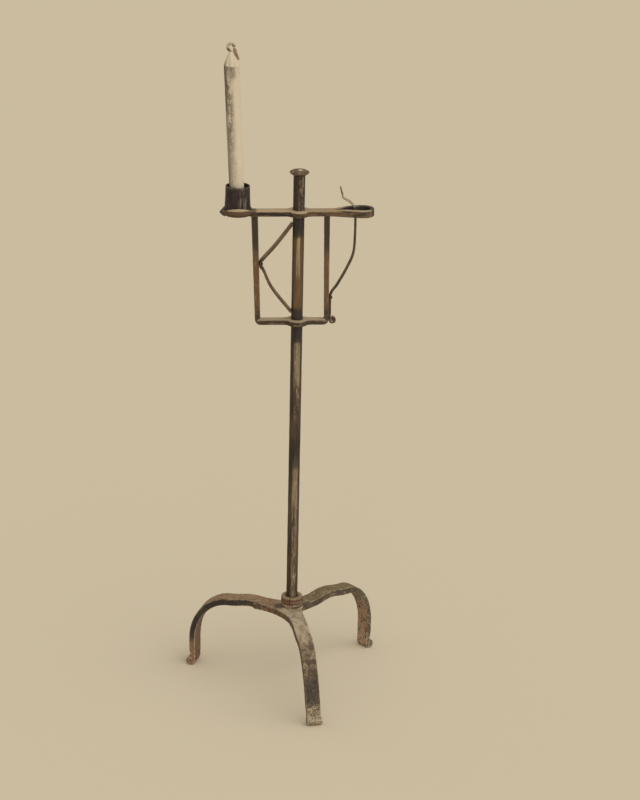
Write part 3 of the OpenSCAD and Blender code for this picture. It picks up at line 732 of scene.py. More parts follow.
def leg_path(sizes, top, hub_thick, drop, peak, rise, reach):
    """The middle line of a leg as (radius, height), with its thickness at each point."""
    steps = 12
    z_hub = top - hub_thick / 2
    z_leg = top - drop - sizes.leg_thick / 2
    z_arch = sizes.arch_top - sizes.leg_thick / 2
    hub_r = sizes.hub_width / 2
    level_r = hub_r + 2 * sizes.step
    path, thick = [(0.0, z_hub)], [hub_thick]
    for k in range(steps + 1):
        t = k / steps
        path.append((hub_r + reach + sizes.step * t, z_hub + (z_leg - z_hub) * smooth_step(t)))
        thick.append(hub_thick + (sizes.leg_thick - hub_thick) * t)
    for k in range(1, steps + 1):
        t = k / steps
        path.append((
            level_r + reach + (peak - level_r) * t,
            z_leg + (z_arch - z_leg) * smooth_step(t) + rise * math.sin(math.pi * t) ** 2,
        ))
        thick.append(sizes.leg_thick)
    for k in range(1, steps + 1):
        t, a = k / steps, math.pi / 2 * k / steps
        path.append((
            peak + reach + (sizes.foot_radius - peak) * math.sin(a),
            z_arch - sizes.shoulder_drop * (1 - math.cos(a)),
        ))
        thick.append(sizes.leg_thick + (sizes.foot_thick - sizes.leg_thick) * t)
    return path, thick


def run_shares(path):
    """How far along a path each of its points lies, from 0 to 1."""
    runs = [0.0]
    for a, b in zip(path, path[1:]):
        runs.append(runs[-1] + math.dist(a, b))
    return [run / runs[-1] for run in runs]


def forge_leg(sizes, top, hub_thick, drop, bow=0.0, flare=0.0, arch_in=0.0, more_rise=0.0, reach=0.0):
    """One leg, drawn out from the hub over its arch to the toe, which is rolled outwards."""
    peak, rise = sizes.arch_radius - arch_in, sizes.arch_rise + more_rise
    path, thick = leg_path(sizes, top, hub_thick, drop, peak, rise, reach)
    roll_r = sizes.toe_size / 2
    toe_z = roll_r - sizes.toe_flat
    inner = sizes.foot_radius + reach - sizes.foot_thick / 2
    straight, coils, coil_turn = 6, 20, math.radians(330)
    foot_z = path[-1][1]
    for k in range(1, straight + 1):
        t = k / straight
        strap = sizes.foot_thick + (sizes.toe_strap - sizes.foot_thick) * t ** 3
        path.append((inner + strap / 2, foot_z + (toe_z + roll_r * 0.6 - foot_z) * t))
        thick.append(strap)
    shares = run_shares(path)
    wide = []
    for r, z in path:
        t = min(r / (sizes.foot_radius + reach), 1)
        wide.append(sizes.leg_width + (sizes.foot_width - sizes.leg_width) * t + flare * t ** 4)
    drift = [-bow * math.sin(math.pi * share ** 1.3) for share in shares]
    coil_r = roll_r - sizes.toe_strap / 2
    for k in range(coils + 1):
        a = math.pi + coil_turn * k / coils
        path.append((inner + roll_r + coil_r * math.cos(a), toe_z + coil_r * math.sin(a)))
        thick.append(sizes.toe_strap * (1 - 0.3 * k / coils))
        spread = smooth_step(min((k + 1) / (coils / 3), 1))
        wide.append(sizes.foot_width + (sizes.toe_width - sizes.foot_width) * spread + flare)
        drift.append(0.0)
    return draw_out(path, wide, thick, drift=drift)


def flatten_toes(piece):
    """Wears the toes flat where they stand on the floor."""
    edit(piece)
    bpy.ops.mesh.bisect(
        plane_co=(0, 0, 0), plane_no=(0, 0, 1), use_fill=True, clear_inner=True, threshold=1e-7
    )
    close_up()


class HOLDER_OT_leg_pair(Operator):
    """Forge the left and front legs, one bent bar round the lower hub plate"""

    bl_idname = "holder.leg_pair"
    bl_label = "Leg pair"

    def execute(self, context):
        sizes, hue = context.scene.holder_tripod, hues()
        front = sizes.left_turn + math.radians(120)
        left_leg = forge_leg(sizes, sizes.hub_top, sizes.leg_thick, 0, flare=sizes.left_flare,
                             arch_in=sizes.left_arch_in)
        front_leg = forge_leg(sizes, sizes.hub_top, sizes.leg_thick, 0, bow=sizes.front_bow)
        shift(left_leg, about_z=sizes.left_turn)
        shift(front_leg, about_z=front)
        low = sizes.hub_top - sizes.leg_thick
        plate = rod(sizes.hub_width / 2, low, sizes.hub_top)
        web = self.crotch(sizes, low)
        shift(web, about_z=sizes.left_turn + math.radians(60))
        join(left_leg, front_leg, plate, web)
        soften(left_leg, 0.9 * MM, 3)
        cut(left_leg, rod(sizes.tenon / 2, low - 10 * MM, sizes.hub_top + 10 * MM))
        dent(left_leg, 0.35 * MM, 12 * MM)
        flatten_toes(left_leg)
        finish(left_leg, "leg_pair_forged", "base", "olive_iron", self.finish(sizes, hue), "leg_pair")
        return {"FINISHED"}

    def crotch(self, sizes, low):
        """The web in the crook of the two legs, cut to a hollow curve."""
        half = sizes.leg_width / 2
        middle = (half + sizes.crotch) / math.sin(math.radians(60))
        run = (half + sizes.crotch) / math.tan(math.radians(60))
        x = run * math.cos(math.radians(60)) + half * math.sin(math.radians(60))
        y = run * math.sin(math.radians(60)) - half * math.cos(math.radians(60))
        deselect()
        bpy.ops.mesh.primitive_circle_add(
            vertices=4, radius=x, fill_type="NGON", location=(x, 0, low)
        )
        web = bpy.context.object
        bpy.ops.object.transform_apply(location=True, rotation=True, scale=True)
        edit(web)
        bpy.ops.transform.resize(value=(1, y / x, 1), center_override=(x, 0, low))
        pick(lambda co: co.x > 1.5 * x)
        bpy.ops.transform.translate(value=(middle - 2 * x, 0, 0))
        bpy.ops.mesh.select_all(action="SELECT")
        bpy.ops.mesh.extrude_region_move(TRANSFORM_OT_translate={"value": (0, 0, sizes.leg_thick)})
        close_up()
        over = 5 * MM
        return cut(web, rod(sizes.crotch, low - over, low + sizes.leg_thick + over, middle,
                            sides=160))

    def finish(self, sizes, hue):
        """Brown and rusty on the left leg, pale and then dark on the front leg, flecked toes; painted shade on
        the left leg's outer face, a painted highlight on its edge and a painted shadow of the collar.
        """
        mix = Finish("Legs, bloomed iron")
        front = sizes.left_turn + math.radians(120)
        left_way = mix.stretched(0.35, 1.0, 0.35, sizes.left_turn)
        front_way = mix.stretched(0.40, 1.0, 0.40, front)
        left = mix.bench.math("SUBTRACT", AXIS.x - 9 * MM, mix.x)
        on_left = mix.bench.ease(left, 0.0, 16 * MM)
        on_front = mix.bench.math("SUBTRACT", 1.0, on_left)
        up = mix.toward(0, 0, 1)
        mix.mottle(hue.brown, hue.rust, hue.black, 0.30, 110.0, left_way)
        mix.over(mix.both(up, 0.80), (0.265, 0.165, 0.076))
        mix.over(mix.both(mix.both(up, mix.marks(left_way, 170.0, 0.48, 0.60)), 0.40), hue.rust)
        mix.over(mix.both(mix.marks(left_way, 260.0, 0.50, 0.60), 0.60), hue.brown)
        mix.over(mix.both(mix.marks(left_way, 420.0, 0.54, 0.62), 0.70), hue.pale)
        # Painted shade: black on the left leg's outer face, more of it further out.
        far_out_shade = mix.bench.ease(left, 34 * MM, 56 * MM, 0.20, 0.90)
        mix.over(mix.both(mix.toward(-0.363, -0.932, 0), far_out_shade), hue.black)
        low_shank = mix.band(mix.z, -10 * MM, 84 * MM, 16 * MM, 10 * MM)
        low_end = mix.band(mix.z, -10 * MM, 44 * MM, 14 * MM)
        mix.over(mix.both(low_end, 0.70), (0.300, 0.175, 0.105))
        mix.over(mix.both(low_shank, mix.both(mix.marks(left_way, 300.0, 0.50, 0.60), 0.6)), hue.tan)
        inner = mix.both(mix.toward(0.932, -0.363, 0), mix.marks(left_way, 160.0, 0.40, 0.56))
        mix.over(mix.both(inner, 0.85), (0.300, 0.130, 0.062))
        # Painted shade: black on the upper part of the left leg's outer face.
        upper_face_shade = mix.both(mix.toward(-0.363, -0.932, 0), mix.band(mix.z, 44 * MM, 96 * MM, 14 * MM))
        mix.over(mix.both(upper_face_shade, mix.bench.ease(left, 50 * MM, 70 * MM, 0.0, 0.85)), hue.black)
        # Painted highlight: a pale line on the edge between the left leg's outer and inner faces.
        corner = mix.both(mix.toward(0.402, -0.916, 0, 0.90, 0.97), low_shank)
        mix.over(mix.both(corner, 0.75), hue.pale)
        left_colour = mix.colour
        mix.mottle(hue.olive, hue.tan, hue.brown, 0.45, 130.0, front_way)
        root = mix.band(mix.z, 97 * MM, 200 * MM, 9 * MM, 8 * MM, 60.0)
        mix.over(mix.both(root, mix.both(mix.marks(front_way, 100.0, 0.32, 0.50), 0.90)), hue.pale)
        mix.over(mix.both(root, mix.both(mix.marks(front_way, 240.0, 0.52, 0.60), 0.60)), (0.190, 0.130, 0.062))
        middle = mix.band(mix.z, 56 * MM, 100 * MM, 10 * MM, 12 * MM, 60.0)
        mix.over(mix.both(middle, 0.80), (0.130, 0.080, 0.040))
        cream = mix.both(mix.marks(mix.place, 140.0, 0.50, 0.60), mix.marks(mix.place, 420.0, 0.40, 0.56))
        mix.over(mix.both(middle, mix.both(cream, 0.62)), hue.pale)
        dark = mix.both(mix.marks(mix.place, 130.0, 0.46, 0.54), 0.85)
        mix.over(mix.both(middle, dark), (0.070, 0.046, 0.022))
        shank = mix.band(mix.z, 24 * MM, 62 * MM, 12 * MM, 18 * MM, 60.0)
        mix.over(mix.both(shank, 0.78), hue.black)
        mix.over(mix.both(mix.both(shank, mix.marks(front_way, 330.0, 0.50, 0.60)), 0.6), hue.olive)
        mix.over(mix.both(mix.marks(front_way, 520.0, 0.56, 0.63), 0.60), hue.black)
        mix.flecks(hue.pale, 0.30, 520.0, mix.both(middle, on_front))
        mix.over(mix.both(mix.toward(-0.988, -0.151, 0), 0.65), (0.170, 0.085, 0.040))
        mix.colour = mix.bench.mix(on_front, left_colour, mix.colour)
        feet = mix.band(mix.z, -10 * MM, 24 * MM, 12 * MM, 10 * MM, 120.0)
        mix.flecks(hue.pale, 0.80, 420.0, mix.both(feet, on_front))
        mix.over(mix.both(mix.both(feet, on_left), mix.marks(mix.place, 180.0, 0.42, 0.60)), hue.rust)
        mix.flecks(hue.pale, 0.62, 420.0, mix.both(feet, on_left))
        mix.flecks(hue.pale, 0.26, 480.0)
        mix.over(mix.both(self.hub_shade(mix, sizes), 0.75), hue.black)
        mix.rim(hue.black, 0.60)
        mix.wear(hue.pale, 0.6, 200.0)
        return mix.done(0.66, 0.1, 0.4)

    def hub_shade(self, mix, sizes):
        """Painted shadow of the collar, dark on the lower plate to the left of the collar."""
        away = mix.bench.add("ShaderNodeVectorMath", {
            0: mix.place, 1: AXIS + Vector((-sizes.hub_width * 0.55, -sizes.hub_width * 0.1, sizes.hub_top)),
        }, operation="DISTANCE").outputs["Value"]
        return mix.bench.ease(away, 4 * MM, 11 * MM, 1.0, 0.0)


class HOLDER_OT_right_leg(Operator):
    """Forge the single leg, lapped over the hub"""

    bl_idname = "holder.right_leg"
    bl_label = "Right leg"

    def execute(self, context):
        sizes, hue = context.scene.holder_tripod, hues()
        eye_thick = EYE_TOP - sizes.hub_top
        leg = forge_leg(sizes, EYE_TOP, eye_thick, eye_thick, more_rise=sizes.right_rise,
                        reach=sizes.right_reach)
        join(leg, self.shoulder(sizes, eye_thick))
        shift(leg, about_z=sizes.left_turn - math.radians(120))
        join(leg, rod(sizes.hub_width / 2 - 1 * MM, sizes.hub_top, EYE_TOP))
        soften(leg, 0.8 * MM, 3)
        cut(leg, rod(sizes.tenon / 2, sizes.hub_top - 10 * MM, EYE_TOP + 10 * MM))
        dent(leg, 0.28 * MM, 11 * MM)
        plate_r = sizes.hub_width / 2 + 0.1 * MM
        cut(leg, rod(plate_r, sizes.hub_top - 2 * sizes.leg_thick, sizes.hub_top, sides=96))
        flatten_toes(leg)
        finish(leg, "right_leg_forged", "base", "olive_iron", self.finish(sizes, hue), "right_leg")
        return {"FINISHED"}

    def shoulder(self, sizes, eye_thick):
        """The block under the leg's step, beside the lower hub plate."""
        low = sizes.hub_top - sizes.leg_thick
        start = sizes.hub_width / 4
        end = sizes.hub_width / 2 + sizes.step + sizes.right_reach
        high = [sizes.leg_thick + eye_thick / 2, sizes.leg_thick + eye_thick / 2, sizes.leg_thick / 2]
        runs = [start, sizes.hub_width / 2, end]
        return draw_out([(r, low + h / 2) for r, h in zip(runs, high)], [sizes.leg_width] * 3, high)

    def finish(self, sizes, hue):
        """Olive on top, rusty on the inner face and flecked on the shank's side."""
        mix = Finish("Right leg, olive iron")
        way = sizes.left_turn - math.radians(120)
        along = mix.stretched(0.35, 1.0, 0.35, way)
        mix.mottle(hue.brown, hue.olive, hue.black, 0.35, 110.0, along)
        top = mix.both(mix.toward(0, 0, 1), mix.marks(along, 150.0, 0.34, 0.52))
        mix.over(mix.both(top, 0.85), (0.170, 0.118, 0.046))
        mix.over(mix.both(mix.marks(along, 240.0, 0.52, 0.62), 0.65), hue.brown)
        mix.over(mix.both(mix.marks(along, 420.0, 0.54, 0.62), 0.60), hue.pale)
        mix.over(mix.both(mix.marks(along, 520.0, 0.55, 0.63), 0.65), hue.black)
        mix.over(mix.both(mix.toward(0.625, -0.78, -0.25, 0.55, 0.9), 0.45), hue.black)
        inner = mix.both(mix.toward(-0.78, -0.625, -0.3), mix.marks(along, 170.0, 0.44, 0.58))
        mix.over(mix.both(inner, 0.88), (0.370, 0.185, 0.085))
        under = mix.toward(-0.78, -0.625, -0.3)
        mix.over(mix.both(under, mix.both(mix.marks(along, 200.0, 0.54, 0.60), 0.7)), hue.black)
        fine = mix.marks(mix.place, 330.0, 0.50, 0.58)
        mix.over(mix.both(under, mix.both(fine, 0.7)), hue.pale)
        shank = mix.band(mix.z, 14 * MM, 88 * MM, 14 * MM, 20 * MM, 50.0)
        mix.flecks(hue.pale, 0.62, 420.0, mix.both(shank, mix.toward(0.625, -0.78, 0)))
        feet = mix.band(mix.z, -10 * MM, 16 * MM, 12 * MM, 10 * MM, 120.0)
        mix.flecks(hue.pale, 0.70, 420.0, feet)
        mix.rim(hue.black, 0.60)
        mix.wear(hue.pale, 0.6, 200.0)
        return mix.done(0.66, 0.1, 0.4)


class HOLDER_OT_collar(Operator):
    """Wrap the collar and lay the washer under it"""

    bl_idname = "holder.collar"
    bl_label = "Collar and washer"

    def execute(self, context):
        hue = hues()
        bore = context.scene.holder_shaft.thick / 2 + 0.1 * MM
        outer = (COLLAR_HIGH.x - COLLAR_LOW.x) / 2
        low, high = COLLAR_LOW.z, COLLAR_HIGH.z
        crease, edge = 0.7 * MM, 1.1 * MM
        half = (low + high) / 2
        wall = [
            (bore, low), (outer - edge, low), (outer - 0.3 * edge, low + 0.3 * edge),
            (outer, low + edge), (outer, half - 2 * crease), (outer - 0.3 * crease, half - crease),
            (outer - 1.6 * crease, half), (outer - 0.3 * crease, half + crease),
            (outer, half + 2 * crease), (outer - 0.2 * crease, high - edge),
            (outer - 0.4 * edge, high - 0.3 * edge), (outer - 1.2 * edge, high), (bore, high),
            (bore, low),
        ]
        collar = lathe(wall, 72, gap=math.radians(3))
        shift(collar, about_z=math.radians(251.5))
        dent(collar, 0.4 * MM, 7 * MM)
        rust = Finish("Collar, rusty iron")
        rust.mottle(hue.rust, hue.brown, hue.black, 0.35, 120.0)
        # Painted top light on upward faces.
        rust.bloom(hue.tan, 0.7, 200.0)
        half_ring = (COLLAR_HIGH.z - COLLAR_LOW.z) / 4
        for level in (low + half_ring, high - half_ring):
            ring_band = rust.band(rust.z, level - 0.6 * MM, level + 0.6 * MM, 1.2 * MM)
            rust.flecks(hue.pale, 0.45, 380.0, ring_band)
        rust.rim(hue.black, 0.8)
        rust.wear(hue.tan, 0.5, 250.0)
        material = rust.done(0.62, 0.2, 0.35)
        finish(collar, "collar_wrapped", "base", "rusty_iron", material, "collar")
        ring = (WASHER_HIGH.x - WASHER_LOW.x) / 2
        tenon = context.scene.holder_tripod.tenon / 2
        low, high, edge = WASHER_LOW.z, WASHER_HIGH.z, 0.4 * MM
        washer = lathe([
            (tenon, low), (ring - edge, low), (ring, low + edge), (ring, high - edge),
            (ring - edge, high), (tenon, high), (tenon, low),
        ], 72)
        finish(washer, "hub_washer_thin", "base", "rusty_iron", material, "hub_washer")
        return {"FINISHED"}


# The shaft


class HOLDER_OT_shaft(Operator):
    """Round the shaft and upset its head"""

    bl_idname = "holder.shaft"
    bl_label = "Shaft"

    def execute(self, context):
        sizes, hue = context.scene.holder_shaft, hues()
        plate = context.scene.holder_tripod.hub_top - context.scene.holder_tripod.leg_thick
        r, tenon, knob, peen = sizes.thick / 2, sizes.tenon / 2, sizes.knob / 2, sizes.peen / 2
        gap = 0.1 * MM
        low, shoulder, top = SHAFT_LOW.z, COLLAR_LOW.z + gap, SHAFT_HIGH.z
        rim_top = top - sizes.dome
        rim = rim_top - sizes.rim
        neck = rim - sizes.flare
        under = plate - gap
        profile = [(0, low), (peen * 0.5, low), (peen * 0.85, low + (under - low) * 0.2),
                   (peen, (low + under) / 2), (peen, under), (tenon, under), (tenon, shoulder)]
        rings = 150
        profile += [(r, shoulder + (neck - shoulder) * k / rings) for k in range(rings + 1)]
        profile += [
            (r + (knob - r) * 0.25, neck + sizes.flare * 0.45),
            (r + (knob - r) * 0.62, neck + sizes.flare * 0.8),
            (knob - 0.7 * MM, rim), (knob - 0.1 * MM, rim + sizes.rim * 0.3),
            (knob, rim + sizes.rim * 0.55), (knob - 0.25 * MM, rim + sizes.rim * 0.85),
            (knob - 1.2 * MM, rim_top), (knob * 0.78, rim_top + sizes.dome * 0.45),
            (knob * 0.5, rim_top + sizes.dome * 0.84), (knob * 0.22, rim_top + sizes.dome * 0.98),
            (0, top),
        ]
        shaft = lathe(profile, 56)
        dent(shaft, 0.3 * MM, 14 * MM)
        finish(shaft, "shaft_forged", "shaft", "forged_iron", self.finish(sizes, hue), "shaft")
        return {"FINISHED"}

    def finish(self, sizes, hue):
        """Dark iron, handled brown and bright where the head slides, the bright streaks partly painted
        highlight, black at the two bars.
        """
        mix = Finish("Shaft, handled iron")
        bench = mix.bench
        drawn = mix.stretched(z=0.06)
        mix.mottle(hue.brown, hue.black, hue.tan, 0.10, 300.0, drawn)
        side = bench.math("DIVIDE", bench.math("SUBTRACT", mix.x, AXIS.x), sizes.thick / 2)
        fine = mix.marks(drawn, 330.0, 0.44, 0.60)

        def worn_highlight_streak(middle, half, low, high):
            """A worn zone, partly painted highlight, that is narrow across and starts in an arch."""
            off = bench.math("SUBTRACT", side, middle)
            arch = bench.math("MULTIPLY", bench.math("MULTIPLY", off, off), 30 * MM)
            level = bench.math("ADD", mix.z, arch)
            across = bench.ease(bench.math("ABSOLUTE", off), half * 0.65, half, 1.0, 0.0)
            return mix.both(across, mix.band(level, low, high, 14 * MM, 6 * MM, 80.0))

        yoke_top = YOKE_LOW.z + 8 * MM
        handled = mix.band(mix.z, yoke_top + 12 * MM, HEAD_Z - 34 * MM, 16 * MM, 10 * MM, 50.0)
        mix.over(mix.both(handled, 0.75), (0.128, 0.072, 0.031))
        # Light streaks down the front: worn iron and painted highlight.
        worn = worn_highlight_streak(-0.05, 0.80, yoke_top + 26 * MM, HEAD_Z - 30 * MM)
        mix.over(mix.both(mix.both(worn, fine), 0.55), (0.190, 0.115, 0.055))
        bright = worn_highlight_streak(-0.05, 0.34, HEAD_Z - 76 * MM, HEAD_Z - 34 * MM)
        mix.over(mix.both(mix.both(bright, mix.marks(drawn, 240.0, 0.36, 0.54)), 0.75), hue.pale)
        off_left = bench.ease(side, 0.1, 0.6)
        mix.over(mix.both(mix.both(handled, off_left), 0.5), (0.120, 0.062, 0.026))
        # Olive streaks below the yoke: worn iron and painted highlight.
        olive = (0.270, 0.205, 0.115)
        under = YOKE_LOW.z
        grain = mix.marks(drawn, 260.0, 0.30, 0.50)
        first = worn_highlight_streak(0.08, 0.62, under - 74 * MM, under - 24 * MM)
        mix.over(mix.both(mix.both(first, grain), 0.90), olive)
        fading = worn_highlight_streak(-0.05, 0.50, under - 104 * MM, under - 60 * MM)
        mix.over(mix.both(mix.both(fading, fine), 0.55), olive)
        second = worn_highlight_streak(0.10, 0.62, under - 246 * MM, under - 192 * MM)
        mix.over(mix.both(mix.both(second, grain), 0.80), olive)
        shank = mix.band(mix.z, 124 * MM, under - 230 * MM, 20 * MM, 30 * MM, 30.0)
        # Tan and pale marks and specks down the middle of the lower shaft: painted highlight.
        off_centre = bench.math("ABSOLUTE", bench.math("SUBTRACT", side, 0.1))
        middle_highlight = bench.ease(off_centre, 0.30, 0.60, 1.0, 0.0)
        centre = mix.both(shank, middle_highlight)
        mix.over(mix.both(mix.both(centre, mix.marks(drawn, 420.0, 0.44, 0.58)), 0.70), hue.tan)
        mix.over(mix.both(mix.both(centre, mix.marks(drawn, 620.0, 0.56, 0.62)), 0.60), hue.pale)
        low_part = mix.band(mix.z, 124 * MM, under - 24 * MM, 10 * MM)
        mix.over(mix.both(mix.both(low_part, mix.marks(drawn, 560.0, 0.52, 0.60)), 0.55), hue.black)
        specks = mix.both(mix.marks(mix.stretched(z=0.2), 460.0, 0.58, 0.64), mix.both(low_part, middle_highlight))
        mix.over(mix.both(specks, 0.75), hue.pale)
        dark_ring = mix.band(mix.z, under - 196 * MM, under - 164 * MM, 14 * MM, 8 * MM, 60.0)
        mix.over(mix.both(dark_ring, 0.75), hue.black)
        for low, high in (
            (HEAD_Z - 28 * MM, HEAD_Z + 4 * MM),
            (YOKE_LOW.z - 20 * MM, yoke_top + 12 * MM),
        ):
            mix.over(mix.both(mix.band(mix.z, low, high, 7 * MM, 8 * MM, 120.0), 0.85), hue.black)
        mix.over(mix.both(mix.band(mix.z, HEAD_Z + 4 * MM, SHAFT_HIGH.z - 8 * MM, 4 * MM), 0.75), hue.black)
        # Tan streak right of the middle above the crossbar: painted highlight on worn iron.
        upper = worn_highlight_streak(0.30, 0.52, HEAD_Z + 8 * MM, SHAFT_HIGH.z - 6 * MM)
        mottled = mix.marks(mix.stretched(z=0.3), 260.0, 0.44, 0.60)
        mix.over(mix.both(mix.both(upper, mottled), 0.65), hue.tan)
        mix.rim(hue.black, 0.8, 0.22, 0.62)
        self.head(mix, sizes, hue)
        return mix.done(0.52, 0.2, 0.25)

    def head(self, mix, sizes, hue):
        """The upset head: brown, with a bright spot on the front of its dome, a painted highlight on worn iron.
        """
        bench = mix.bench
        on_head = bench.ease(mix.z, SHAFT_HIGH.z - sizes.dome - sizes.rim - 1 * MM,
                             SHAFT_HIGH.z - sizes.dome - sizes.rim)
        brown = bench.mix(mix.marks(mix.place, 260.0, 0.50, 0.68), hue.brown, hue.tan)
        mix.over(on_head, brown)
        # Painted highlight on the front of the dome, on worn iron.
        spot = AXIS + Vector((1.0 * MM, -3.5 * MM, SHAFT_HIGH.z))
        away = bench.add("ShaderNodeVectorMath", {0: mix.place, 1: spot}, operation="DISTANCE")
        bright = bench.ease(away.outputs["Value"], 2.0 * MM, 4.4 * MM, 1.0, 0.0)
        mix.over(mix.both(bright, mix.both(mix.toward(0, 0, 1, 0.5, 0.9), 0.7)), hue.cream)


# The sliding head


def swell(at, middle, narrow, wide, reach):
    """A half width that swells smoothly from a bar's own to an eye's."""
    t = max(0.0, 1 - abs(at - middle) / reach)
    return narrow + (wide - narrow) * smooth_step(t)


class HOLDER_OT_crossbar(Operator):
    """Forge the crossbar with its pan, its eye and its splint loop"""

    bl_idname = "holder.crossbar"
    bl_label = "Crossbar"

    def execute(self, context):
        sizes, hue = context.scene.holder_head, hues()
        end = BAR_HIGH.x - AXIS.x
        bar = self.bar(sizes)
        join(bar, self.eye(sizes), self.pan(sizes), self.loop(sizes, end))
        soften(bar, 0.6 * MM, 4)
        over = 20 * MM
        cut(bar, rod(sizes.bore / 2, HEAD_Z - over, HEAD_Z + over))
        dent(bar, 0.25 * MM, 9 * MM)
        finish(bar, "crossbar_forged", "head", "olive_iron", self.finish(sizes, hue, end), "crossbar")
        return {"FINISHED"}

    def bar(self, sizes):
        """The bar from the pan to the loop, drawn a little thinner between its shoulders."""
        start, stop, steps = -SOCKET_X + sizes.pan - 6 * MM, sizes.loop_start + 3 * MM, 40
        xs = [start + (stop - start) * k / steps for k in range(steps + 1)]
        wide = [2 * swell(x, 0, sizes.bar_width / 2, sizes.eye / 2 * 0.9, 17 * MM) for x in xs]
        return draw_out([(x, HEAD_Z) for x in xs], wide, [sizes.bar_high] * len(xs))

    def eye(self, sizes):
        return rod(sizes.eye / 2, HEAD_Z - sizes.bar_high / 2, HEAD_Z + sizes.bar_high / 2)

    def pan(self, sizes):
        """The pan with its pointed tip, turned up like a boat's sides in front and behind."""
        top = HEAD_Z + sizes.bar_high / 2
        low = top - sizes.pan_thick
        edge = 0.9 * MM
        pan = lathe([
            (0, low), (sizes.pan * 0.8, low), (sizes.pan - edge, low + 0.3 * sizes.pan_thick),
            (sizes.pan, low + 0.6 * sizes.pan_thick), (sizes.pan, top), (0, top),
        ], 72)
        inner, lip_top, root = sizes.pan - sizes.lip_thick, top + sizes.lip_high, (low + top) / 2
        lips = lathe([
            (inner, root), (sizes.pan, root), (sizes.pan, lip_top), (inner, lip_top), (inner, root),
        ], 72)
        run = sizes.pan - 2 * MM
        barrel = (run ** 2 + sizes.lip_high ** 2) / (2 * sizes.lip_high)
        reach = sizes.pan + 5 * MM
        cut(lips, rod(barrel, -reach, reach, y=lip_top - barrel, sides=160, way="Y"), "INTERSECT")
        join(pan, lips)
        shift(pan, (-SOCKET_X, 0, 0))
        tip = -(AXIS.x - BAR_LOW.x)
        back = -SOCKET_X - sizes.pan * 0.80
        point = draw_out(
            [(back, root), ((back + tip) / 2, root + 0.2 * MM), (tip, root + 0.4 * MM)],
            [23 * MM, 12 * MM, 1.2 * MM], [sizes.pan_thick, 0.75 * sizes.pan_thick, 1.6 * MM],
        )
        return join(pan, point)

    def loop(self, sizes, end):
        """The strap of the loop: out along one side, round the end and back along the other."""
        strap, low = sizes.strap, HEAD_Z - sizes.bar_high / 2
        turn_r = sizes.loop_deep / 2 - strap / 2
        middle = end - sizes.loop_deep / 2
        root = (sizes.loop_start, sizes.bar_width / 2 - strap / 2)
        far = math.hypot(middle - root[0], root[1])
        touch = math.acos(turn_r / far) - math.atan2(root[1], middle - root[0])
        start = math.pi - touch
        arc, side = 28, 10
        bend = [
            (middle + turn_r * math.cos(a), turn_r * math.sin(a))
            for a in (start - 2 * start * k / arc for k in range(arc + 1))
        ]
        out = [
            (root[0] + (bend[0][0] - root[0]) * k / side, root[1] + (bend[0][1] - root[1]) * k / side)
            for k in range(side)
        ]
        path = [(sizes.loop_start - 6 * MM, root[1]), *out, *bend]
        path += [(x, -y) for x, y in reversed(path[: side + 1])]
        rise = 22 * MM
        tall = [
            sizes.bar_high + (sizes.strap_high - sizes.bar_high) * smooth_step(
                min(max((x - sizes.loop_start) / rise, 0), 1))
            for x, y in path
        ]
        return draw_out(path, tall, [strap] * len(path), level=True, drift=[low + h / 2 for h in tall])

    def finish(self, sizes, hue, end):
        """Tan painted top light on the worn top, painted shade under it on the pan, a lighter olive top beside
        the loop, also painted light, and painted shade inside the loop.
        """
        mix = Finish("Crossbar, worn iron")
        along = mix.stretched(x=0.25)
        mix.mottle((0.150, 0.088, 0.046), hue.black, hue.tan, 0.30, 130.0, along)
        top = HEAD_Z + sizes.bar_high / 2
        right = mix.bench.ease(mix.x, AXIS.x + 4 * MM, AXIS.x + 18 * MM)
        left = mix.bench.math("SUBTRACT", 1.0, right)
        loop_face = mix.bench.ease(mix.x, AXIS.x + 40 * MM, AXIS.x + 56 * MM)
        on_pan = mix.bench.ease(mix.x, AXIS.x - 58 * MM, AXIS.x - 52 * MM, 1.0, 0.0)
        streaks = mix.marks(mix.stretched(x=0.12), 420.0, 0.46, 0.58)
        mix.over(mix.both(mix.both(loop_face, streaks), 0.16), hue.tan)
        # Tan on the loop's rounded end: painted light.
        tip = mix.bench.ease(mix.x, AXIS.x + end - 7 * MM, AXIS.x + end - 1 * MM)
        mix.over(mix.both(tip, 0.6), hue.tan)
        # Tan on the bar's top left of the shaft: painted top light on worn iron.
        worn = (0.450, 0.328, 0.196)
        upper = mix.band(mix.z, top - 1.4 * MM, top + 20 * MM, 0.8 * MM, 1.2 * MM, 120.0)
        mix.over(mix.both(mix.both(upper, left), 0.92), worn)
        # Dark on the pan below its top: painted shade.
        under_lip_shade = mix.band(mix.z, top - 20 * MM, top + 2.4 * MM, 0.8 * MM, 1.2 * MM, 120.0)
        mix.over(mix.both(mix.both(under_lip_shade, on_pan), 0.9), (0.070, 0.036, 0.018))
        # Lighter olive on the top right of the shaft: painted highlight.
        before_loop = mix.bench.ease(mix.x, AXIS.x + 46 * MM, AXIS.x + 60 * MM, 1.0, 0.0)
        olive_top_light = mix.both(mix.both(upper, right), before_loop)
        mix.over(mix.both(olive_top_light, 0.90), (0.350, 0.252, 0.130))
        point = mix.bench.ease(mix.x, BAR_LOW.x + 2 * MM, BAR_LOW.x + 6 * MM, 1.0, 0.0)
        mix.over(mix.both(point, 0.85), hue.black)
        # A light line on the loop's top edge: painted highlight.
        loop_top_light = mix.band(mix.z, top + 0.9 * MM, top + 20 * MM, 0.6 * MM, 1.0 * MM, 120.0)
        mix.over(mix.both(mix.both(loop_top_light, loop_face), 0.7), worn)
        stains = mix.both(mix.toward(0, 0, 1), mix.marks(along, 260.0, 0.56, 0.66))
        mix.over(mix.both(stains, 0.45), hue.brown)
